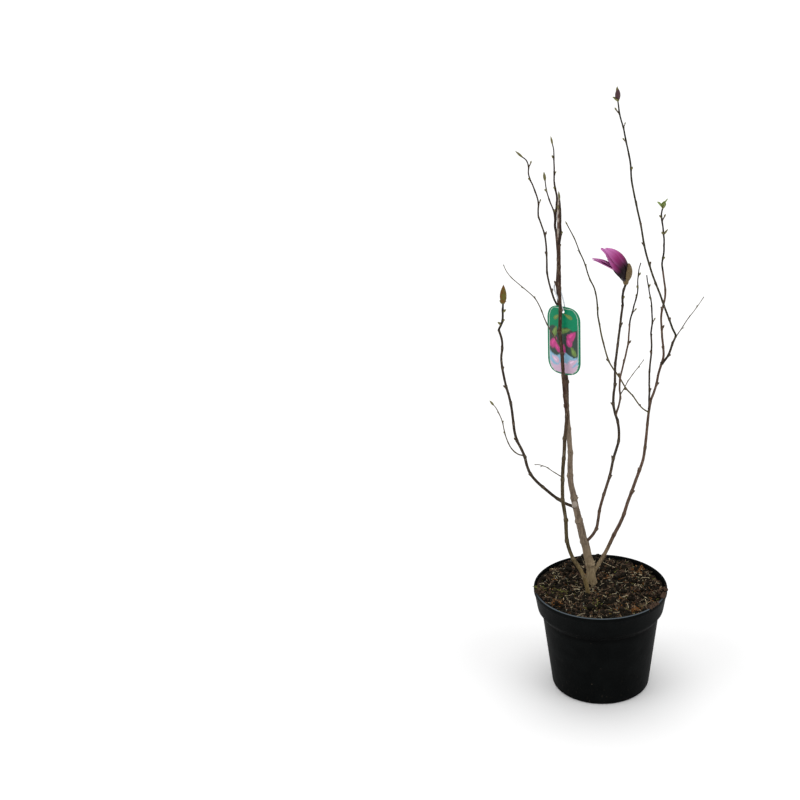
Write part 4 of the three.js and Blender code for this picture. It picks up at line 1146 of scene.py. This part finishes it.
class MAGNOLIA_OT_flower(Operator):
    """Adds the half-open flower with its furled heart, its outer tepals and its dry scale"""

    bl_idname = "magnolia.flower"
    bl_label = "Flower"

    def execute(self, context):
        flower = context.scene.magnolia_flower
        stem = Course.of("flower_tip")
        axis, beak, lift = (leaning(right, BACK_LEAN) for right in (OPEN_LEAN, HEART_LEAN, FOOT_LEAN))
        foot, heel = stem.tip + OPEN_LIFT * lift, stem.tip + HEART_LIFT * lift
        tepals = Build()
        for blade in RAISED_TEPALS:
            add_blade(tepals, foot, axis, blade, 18, 30, RUFFLE)
        for blade in DROPPED_TEPALS:
            add_blade(tepals, foot, axis, blade, 18, 30, RUFFLE, chart_from=0.5)
        # The heel tepals' chart starts below 0, so more of each lies in the dark foot, which is partly
        # painted shade.
        for blade in HEEL_TEPALS:
            add_blade(tepals, heel, beak, blade, 18, 26, chart_from=-0.3)
        piece = thickened(tepals, "tepals", tepal_finish(flower), flower.thickness)
        settle(piece, ["flower_twigs"])

        body, bracts, cup = Build(), Build(), Build()
        add_buds(body, heel, beak, 22, 4.4, 16, 16)
        # The furled heart takes the near-black of the tepals' foot, which is partly painted shade.
        heart = plain_growth("flower_foot", flower.base, 0.5, 0.3)
        settle(body.piece("flower_heart", [heart]), ["flower_twigs"])
        for blade in BRACTS:
            add_blade(bracts, stem.tip, leaning(0.0, BACK_LEAN), blade, 12, 20)
        # Dry scale: papery brown, with hardly a gleam.
        dry = plain_growth("dry_scale", flower.bract, 0.75, 0.4, 1.0, Specular_IOR_Level=0.15)
        settle(thickened(bracts, "dry_bract", dry, 0.0008), ["flower_twigs"])
        add_buds(cup, stem.tip - 2 * stem.heading, lift, 13, 3.9, 16, 12, 0.7)
        settle(cup.piece("flower_cup", [dry]), ["flower_twigs"])
        return {"FINISHED"}


# ---- Pot and soil ----

STEP_EDGE = 0.003  # m, from the collar's foot down to the edge of the sloping step
POT_SIDES, SOIL_SIDES, SOIL_RINGS = 128, 340, 120
FLOOR_LEVEL = 0.002  # m, the upper face of the pot's floor
DRAIN_HOLES = 6
FLAT_RADIUS, RISE_WIDTH = 38, 30  # the soil is flat within the first, and lumpy past both
RIM_INNER, RIM_OUTER, RIM_TOP = 91, 94.5, 155.6  # where what spills on to the pot's rim lies


def pot_outside(pot):
    """The pot's outside from the bottom up, as radius and height in metres, with a small rounding at
    each edge."""
    collar_foot = pot.height - pot.collar
    step_foot, step_top, lip_foot = collar_foot - pot.step, collar_foot - STEP_EDGE, pot.height - pot.lip
    return np.array([
        (pot.foot_radius - 0.004, 0.0), (pot.foot_radius - 0.0022, 0.0004),
        (pot.foot_radius - 0.0011, 0.0015), (pot.foot_radius - 0.0003, 0.0032), (pot.foot_radius, 0.005),
        (pot.body_radius - 0.0001, step_foot - 0.001), (pot.body_radius + 0.0001, step_foot),
        (pot.body_radius + 0.0007, step_foot + 0.001), (pot.collar_radius - 0.0014, step_top - 0.0008),
        (pot.collar_radius - 0.0007, step_top), (pot.collar_radius, collar_foot),
        (pot.radius - 0.0011, lip_foot - 0.0005), (pot.radius - 0.0008, lip_foot),
        (pot.radius, lip_foot + 0.001), (pot.radius, pot.height - 0.001),
        (pot.radius - 0.0003, pot.height - 0.0003), (pot.radius - 0.0007, pot.height),
    ])


def pot_inside(pot, heights):
    """Radius of the pot's inside at each height: the outside less the wall, straight under the lip."""
    radii, levels = pot_outside(pot).T
    return np.interp(np.minimum(heights, pot.height - pot.lip), levels, radii) - pot.wall


def turned(profile, sides):
    """Rings of points round the upright axis, from a profile of radii and heights. They run so that a
    profile that climbs faces outward."""
    turn = turns(sides)
    return np.stack([profile[:, :1] * np.cos(turn), profile[:, :1] * -np.sin(turn),
                     np.repeat(profile[:, 1:], sides, axis=1)], axis=-1)


def on_mound(x, y, cx, cy, wide):
    """How near a place in millimetres is to the middle of a mound or hollow: 1 there, 0 far off."""
    return np.exp(-((x - cx) ** 2 + (y - cy) ** 2) / wide ** 2)


def soil_height(x, y):
    """Height of the soil in metres: flat round the stems' feet, with slow lumps towards the rim that
    lie higher along the back and a little higher on the left, a sum of short waves in all directions
    for its crumb, and its mounds and hollows."""
    xm, ym = x / MM, y / MM
    share = np.clip((np.hypot(xm, ym) - FLAT_RADIUS) / RISE_WIDTH, 0, 1)
    waves = np.sin(xm * 0.11 + 1.3) * np.cos(ym * 0.13) + 0.6 * np.sin(xm * 0.23 - ym * 0.19)
    height = SOIL_LEVEL + share * (1.3 * waves + (5.5 * np.maximum(ym, 0) - 2.5 * xm) / 95)
    rng = np.random.default_rng(SEED)
    for wave in np.geomspace(24, 2.6, 36):
        heading, phase = rng.uniform(0, 2 * math.pi, 2)
        along = xm * math.cos(heading) + ym * math.sin(heading)
        height = height + 0.042 * wave ** 0.8 * np.sin(2 * math.pi / wave * along + phase)
    for cx, cy, wide, lift in MOUNDS:
        height = height + lift * on_mound(xm, ym, cx, cy, wide)
    return height * MM


def strewn(count, seed, reach, heaps):
    """Places spread evenly over a disc on the soil, but few of them in its hollows, and then those
    thrown in heaps. What falls on the rim of the pot lies on top of it."""
    rng = np.random.default_rng(seed)
    r = reach * np.sqrt(rng.uniform(0, 1, count))
    turn = rng.uniform(0, 2 * math.pi, count)
    x, y = r * np.cos(turn), r * np.sin(turn)
    chance = np.ones(count)
    for cx, cy, wide, lift in MOUNDS:
        if lift < 0:
            chance -= 0.8 * on_mound(x / MM, y / MM, cx, cy, wide)
    kept = rng.uniform(0, 1, count) < chance
    x, y = x[kept], y[kept]
    places = [np.stack([x, y, soil_height(x, y)], axis=1)]
    for cx, cy, spread, many in heaps:
        thrown = rng.normal(0, spread * 0.5, (many, 2)) + (cx, cy)
        away = np.linalg.norm(thrown, axis=1, keepdims=True)
        thrown = thrown * np.minimum(1, RIM_OUTER / away) * MM
        heights = soil_height(*thrown.T)
        heights = np.where(away[:, 0] > RIM_INNER, np.maximum(heights, RIM_TOP * MM), heights)
        places.append(np.column_stack([thrown, heights]))
    return np.concatenate(places) / MM, rng


class MAGNOLIA_OT_pot(Operator):
    """Adds the nursery pot with its collar, lip and drain holes"""

    bl_idname = "magnolia.pot"
    bl_label = "Pot"

    def execute(self, context):
        pot = context.scene.magnolia_pot
        collar_foot = pot.height - pot.collar
        levels = np.array([pot.height, pot.height - pot.lip, collar_foot, collar_foot - STEP_EDGE,
                           collar_foot - pot.step, 0.005, FLOOR_LEVEL])
        inside = np.column_stack([pot_inside(pot, levels), levels])
        build = Build()
        build.add(*closed_form(turned(np.concatenate([pot_outside(pot), inside]), POT_SIDES)))
        piece = build.piece("nursery_pot", [plastic_finish(pot)])
        self.pierce(piece, pot)
        settle(piece, ["pot"])
        return {"FINISHED"}

    @staticmethod
    def pierce(piece, pot):
        """Cuts the drain holes through the pot's floor, as upright rods taken out of it."""
        rods = Build()
        for bearing in turns(DRAIN_HOLES):
            profile = [(pot.drain_radius, level * FLOOR_LEVEL) for level in (-2, 3)]
            rod = turned(np.array(profile), 24)
            centre = pot.drain_circle * np.array([math.cos(bearing), math.sin(bearing), 0.0])
            rods.add(*closed_form(rod + centre))
        cutter = rods.piece("drain_rods", [])
        cut = piece.modifiers.new("drain_holes", "BOOLEAN")
        cut.operation, cut.solver, cut.object = "DIFFERENCE", "EXACT", cutter
        graph = bpy.context.evaluated_depsgraph_get()
        pierced = bpy.data.meshes.new_from_object(piece.evaluated_get(graph))
        piece.modifiers.clear()
        whole, piece.data, rod_mesh = piece.data, pierced, cutter.data
        bpy.data.objects.remove(cutter)
        for mesh in (whole, rod_mesh):
            bpy.data.meshes.remove(mesh)


class MAGNOLIA_OT_soil(Operator):
    """Adds the peaty soil with its crumbs, fibres, grit and moss"""

    bl_idname = "magnolia.soil"
    bl_label = "Soil"

    def execute(self, context):
        pot = context.scene.magnolia_pot
        r = pot.soil_radius * np.linspace(1, 0.004, SOIL_RINGS)[:, None]
        turn = turns(SOIL_SIDES)
        x, y = r * np.cos(turn), r * -np.sin(turn)
        top = np.stack([x, y, soil_height(x, y)], axis=-1)
        collar_foot = pot.height - pot.collar
        # The soil's side follows the pot's inside at these heights, and keeps clear of it by so much.
        levels = np.array([0.0024, 0.0055, collar_foot - pot.step, collar_foot - 0.0034, collar_foot])
        clear = np.array([0.0022, 0.0009, 0.0005, 0.0005, 0.0005])
        wall = turned(np.column_stack([pot_inside(pot, levels) - clear, levels]), SOIL_SIDES)
        build = Build()
        build.add(*closed_form(np.concatenate([wall, top])))
        settle(build.piece("peat", [peat_finish(pot)]), ["soil"])
        self.crumbs(pot)
        self.strands(pot)
        return {"FINISHED"}

    @staticmethod
    def crumbs(pot):
        """Lumps that lie half in the soil, most of them small."""
        for k, (name, tone, small, large, share, heaps) in enumerate(CRUMBS):
            places, rng = strewn(int(pot.crumbs * share), SEED + 20 + k, pot.soil_radius - 0.003, heaps)
            count = len(places)
            half = small + (large - small) * rng.uniform(0, 1, count) ** 2.2
            heading = unit(rng.normal(0, 1, (count, 3)))
            feet = places - heading * half[:, None] + np.array([0, 0, 0.3]) * half[:, None]
            lumps = Build()
            add_buds(lumps, feet, heading, 2 * half, half * rng.uniform(0.55, 1.0, count), 6, 5, 0.6)
            finish = plain_growth(name, getattr(pot, tone), 0.95, 0.5, 0.8, Specular_IOR_Level=0.1)
            settle(lumps.piece(name, [finish]), ["soil"])

    @staticmethod
    def strands(pot):
        """Bent fibres that lie on the soil, most of them nearly flat."""
        for k, (name, tone, thick, share, scale, tufts) in enumerate(STRANDS):
            places, rng = strewn(int(pot.fibres * share), SEED + 40 + k, pot.soil_radius - 0.005, tufts)
            count = len(places)
            heading = unit(rng.normal(0, 1, (count, 3)) * np.array([1, 1, 0.4]))
            long = np.minimum(rng.gamma(2.0, scale, count) + 1.5, 14)
            bend = rng.normal(0, 0.35, (count, 3)) * np.array([1, 1, 0.5])
            feet = places - heading * long[:, None] * 0.5 + np.array([0, 0, 0.6])
            fibres = Build()
            add_buds(fibres, feet, heading, long, thick * rng.uniform(0.5, 1.5, count), 4, 7, 0.3, bend=bend)
            finish = plain_growth(name, getattr(pot, tone), 0.85, 0.45, 2.0, Specular_IOR_Level=0.15)
            settle(fibres.piece(name, [finish]), ["soil"])


# ---- Label and tie ----

LABEL_CENTRE = np.array([-48.6, 17.4, 523.5])
LABEL_TURN = math.radians(30)
LABEL_BULGE = 2.2
LABEL_ROUND = 20.0  # height of the rounded part at its top and at its foot
LABEL_SQUARENESS = 0.6  # 1 would make that part an ellipse
LABEL_SPOKES, LABEL_RINGS = 240, 60
HOLE_DROP, HOLE_RADIUS = 7.0, 2.6
BORDER, LINE = 2.8, 3.6  # how far in from the edge each ends
STRAP_RADIUS, STRAP_POINTS, STRAP_SIDES = 1.0, 140, 10
STRAP_SEAT = 0.896  # how far above the hole's middle it goes through the hole
STRAP_HIGH, STRAP_LOW = 0.865, 0.849  # how far up the trunk it passes, behind and beside it
# Where the strap passes the trunk: high or low, and how far to the right and to the back, as shares of
# its reach.
STRAP_TURNS = ((STRAP_LOW, -1.25, -0.3), (STRAP_HIGH, -0.95, 0.8), (STRAP_HIGH, 0.95, 0.8),
               (STRAP_LOW, 1.25, -0.3))


def on_label(u, v, out, half_width):
    """A place on the label from its middle: u to the right, v up, and out of its printed face, which
    bulges."""
    out = out + LABEL_BULGE * (0.5 - (u / half_width) ** 2)
    return np.stack([LABEL_CENTRE[0] + u * math.cos(LABEL_TURN) - out * math.sin(LABEL_TURN),
                     LABEL_CENTRE[1] - u * math.sin(LABEL_TURN) - out * math.cos(LABEL_TURN),
                     LABEL_CENTRE[2] + v], axis=-1)


class MAGNOLIA_OT_label(Operator):
    """Adds the plant label with its plain printed design, and the strap that ties it on"""

    bl_idname = "magnolia.label"
    bl_label = "Label and tie"

    def execute(self, context):
        label = context.scene.magnolia_label
        half_w, half_h, thick = label.width / MM / 2, label.height / MM / 2, label.thickness / MM
        hole_v = half_h - HOLE_DROP
        u, v = self.outline(half_w, half_h, hole_v)
        faces = (on_label(u, v, thick / 2, half_w), on_label(u, v, -thick / 2, half_w)[::-1])
        rings = np.concatenate(faces).reshape(-1, 3)
        printed = self.design(u, v, half_w, half_h, label)
        plain = np.broadcast_to(shade(label.border, 1.6), printed.shape)
        ink = np.concatenate([printed, plain]).reshape(-1, 3)
        card = Build()
        around = grid_faces(2 * LABEL_RINGS + 1, LABEL_SPOKES, True) % len(rings)
        card.add(rings * MM, around, ink=ink)
        # Printed card: smooth and lightly sealed, so its colours show without glare.
        finish, tree, shader = new_finish("printed_card", 0.35, Specular_IOR_Level=0.2)
        colours = add_node(tree, "ShaderNodeAttribute", output="Color", attribute_name="ink")
        tree.links.new(colours, shader.inputs["Base Color"])
        settle(card.piece("plant_label", [finish]), ["label"])

        strap = Build()
        seat = np.array(hole_v + STRAP_SEAT)
        self.tie(strap, on_label(np.array(0.0), seat, -thick / 2, half_w))
        # Clear strap: glossy plastic that takes the light of what is round it.
        clear = plain_growth("clear_strap", label.tie, 0.2, 0.08, 3.0)
        settle(strap.piece("label_strap", [clear]), ["label_tie"])
        return {"FINISHED"}

    @staticmethod
    def outline(half_w, half_h, hole_v):
        """Places on the card, in rings from the hole's edge out to the card's edge, which is straight
        at its sides and rounded at its top and at its foot."""
        turn = turns(LABEL_SPOKES)
        around = np.linspace(0, 2 * math.pi, 12 * LABEL_SPOKES + 1)
        edge_u = half_w * np.sign(np.cos(around)) * np.abs(np.cos(around)) ** LABEL_SQUARENESS
        edge_v = np.sign(np.sin(around)) * (half_h - LABEL_ROUND * (1 - np.abs(np.sin(around))))
        bearing = np.arctan2(edge_v - hole_v, edge_u) % (2 * math.pi)
        order = np.argsort(bearing)
        out_u, out_v = (np.interp(turn, bearing[order], edge[order]) for edge in (edge_u, edge_v))
        rim_u, rim_v = HOLE_RADIUS * np.cos(turn), hole_v + HOLE_RADIUS * np.sin(turn)
        share = np.linspace(0, 1, LABEL_RINGS)[:, None]
        return rim_u + (out_u - rim_u) * share, rim_v + (out_v - rim_v) * share

    @staticmethod
    def design(u, v, half_w, half_h, label):
        """The printed colours at places on the card: a border with a fine pale line inside it, a bright
        ground above, a dark ground with petals in the middle and a pale ground of hills below."""
        drop = np.maximum(np.abs(v) - half_h + LABEL_ROUND, 0) / LABEL_ROUND
        outline = half_w * np.maximum(1 - drop ** 2, 0) ** (LABEL_SQUARENESS / 2)
        inside = np.minimum(outline - np.abs(u), (half_h - np.abs(v)) * 1.2)
        ink = np.empty(u.shape + (3,))
        ink[:] = label.dark
        ink[v > 18 + 2 * np.sin(u * 0.3)] = label.bright
        ink[v < -20 + 3 * np.sin(u * 0.22 + 1)] = label.sky
        ink[v < -34 + 3 * np.cos(u * 0.25)] = label.blush
        for cu, cv, long, wide, lean, name in PRINTED:
            c, s = math.cos(math.radians(lean)), math.sin(math.radians(lean))
            along = ((u - cu) * c + (v - cv) * s) / long
            over = ((v - cv) * c - (u - cu) * s) / (wide * (1.15 - 0.6 * along))
            away = along ** 2 + over ** 2
            ink[away < 1] = getattr(label, name)
            ink[(away < 0.25) & (over > 0)] = shade(getattr(label, name), 1.5)
        ink[inside < LINE] = label.line
        ink[inside < BORDER] = label.border
        return ink

    @staticmethod
    def tie(strap, hole):
        """The strap: a closed round loop from the label's hole past the trunk and back."""
        trunk = Course.of("trunk")
        reach = 1.1 * trunk.radius(STRAP_HIGH) + STRAP_RADIUS
        beside = [trunk.place(share) + np.array([right * reach, back * reach, 0])
                  for share, right, back in STRAP_TURNS]
        # It leaves the hole to the front and comes back into it from behind.
        route = np.array([hole, hole + (-1, -2.4, 5), *beside, hole + (2, 2.8, 6)])
        spot = np.linspace(0, len(route), STRAP_POINTS, endpoint=False)
        low = spot.astype(int)
        a, b, c, d = (route[(low + k) % len(route)] for k in (-1, 0, 1, 2))
        points = through(a, b, c, d, (spot - low)[:, None])
        along = unit(np.roll(points, -1, 0) - np.roll(points, 1, 0))
        rings = tube(points, along, np.full((STRAP_POINTS, 1), STRAP_RADIUS), turns(STRAP_SIDES))
        faces = grid_faces(STRAP_POINTS + 1, STRAP_SIDES, True) % (STRAP_POINTS * STRAP_SIDES)
        strap.add(rings.reshape(-1, 3) * MM, faces)


# ---- The add-on ----


class MAGNOLIA_PT_panel(Panel):
    """Lists what the add-on builds"""

    bl_idname = "MAGNOLIA_PT_panel"
    bl_label = "Magnolia"
    bl_space_type = "VIEW_3D"
    bl_region_type = "UI"
    bl_category = "Magnolia"

    def draw(self, context):
        for operator in OPERATORS:
            self.layout.operator(operator.bl_idname)
        for name, group in GROUPS.items():
            box = self.layout.box()
            for key in group.__annotations__:
                box.prop(getattr(context.scene, name), key)


OPERATORS = (
    MAGNOLIA_OT_pot, MAGNOLIA_OT_soil, MAGNOLIA_OT_boughs, MAGNOLIA_OT_twigs, MAGNOLIA_OT_buds,
    MAGNOLIA_OT_flower, MAGNOLIA_OT_label, MAGNOLIA_OT_stage,
)


def register():
    for group in GROUPS.values():
        bpy.utils.register_class(group)
    for name, group in GROUPS.items():
        setattr(bpy.types.Scene, name, PointerProperty(type=group))
    for kind in (*OPERATORS, MAGNOLIA_PT_panel):
        bpy.utils.register_class(kind)


def unregister():
    for kind in reversed((*OPERATORS, MAGNOLIA_PT_panel)):
        bpy.utils.unregister_class(kind)
    for name in GROUPS:
        delattr(bpy.types.Scene, name)
    for group in GROUPS.values():
        bpy.utils.unregister_class(group)


def main():
    register()
    bpy.ops.magnolia.pot()
    bpy.ops.magnolia.soil()
    bpy.ops.magnolia.boughs()
    bpy.ops.magnolia.twigs()
    bpy.ops.magnolia.buds()
    bpy.ops.magnolia.flower()
    bpy.ops.magnolia.label()
    bpy.ops.magnolia.stage()


if __name__ == "__main__":
    main()
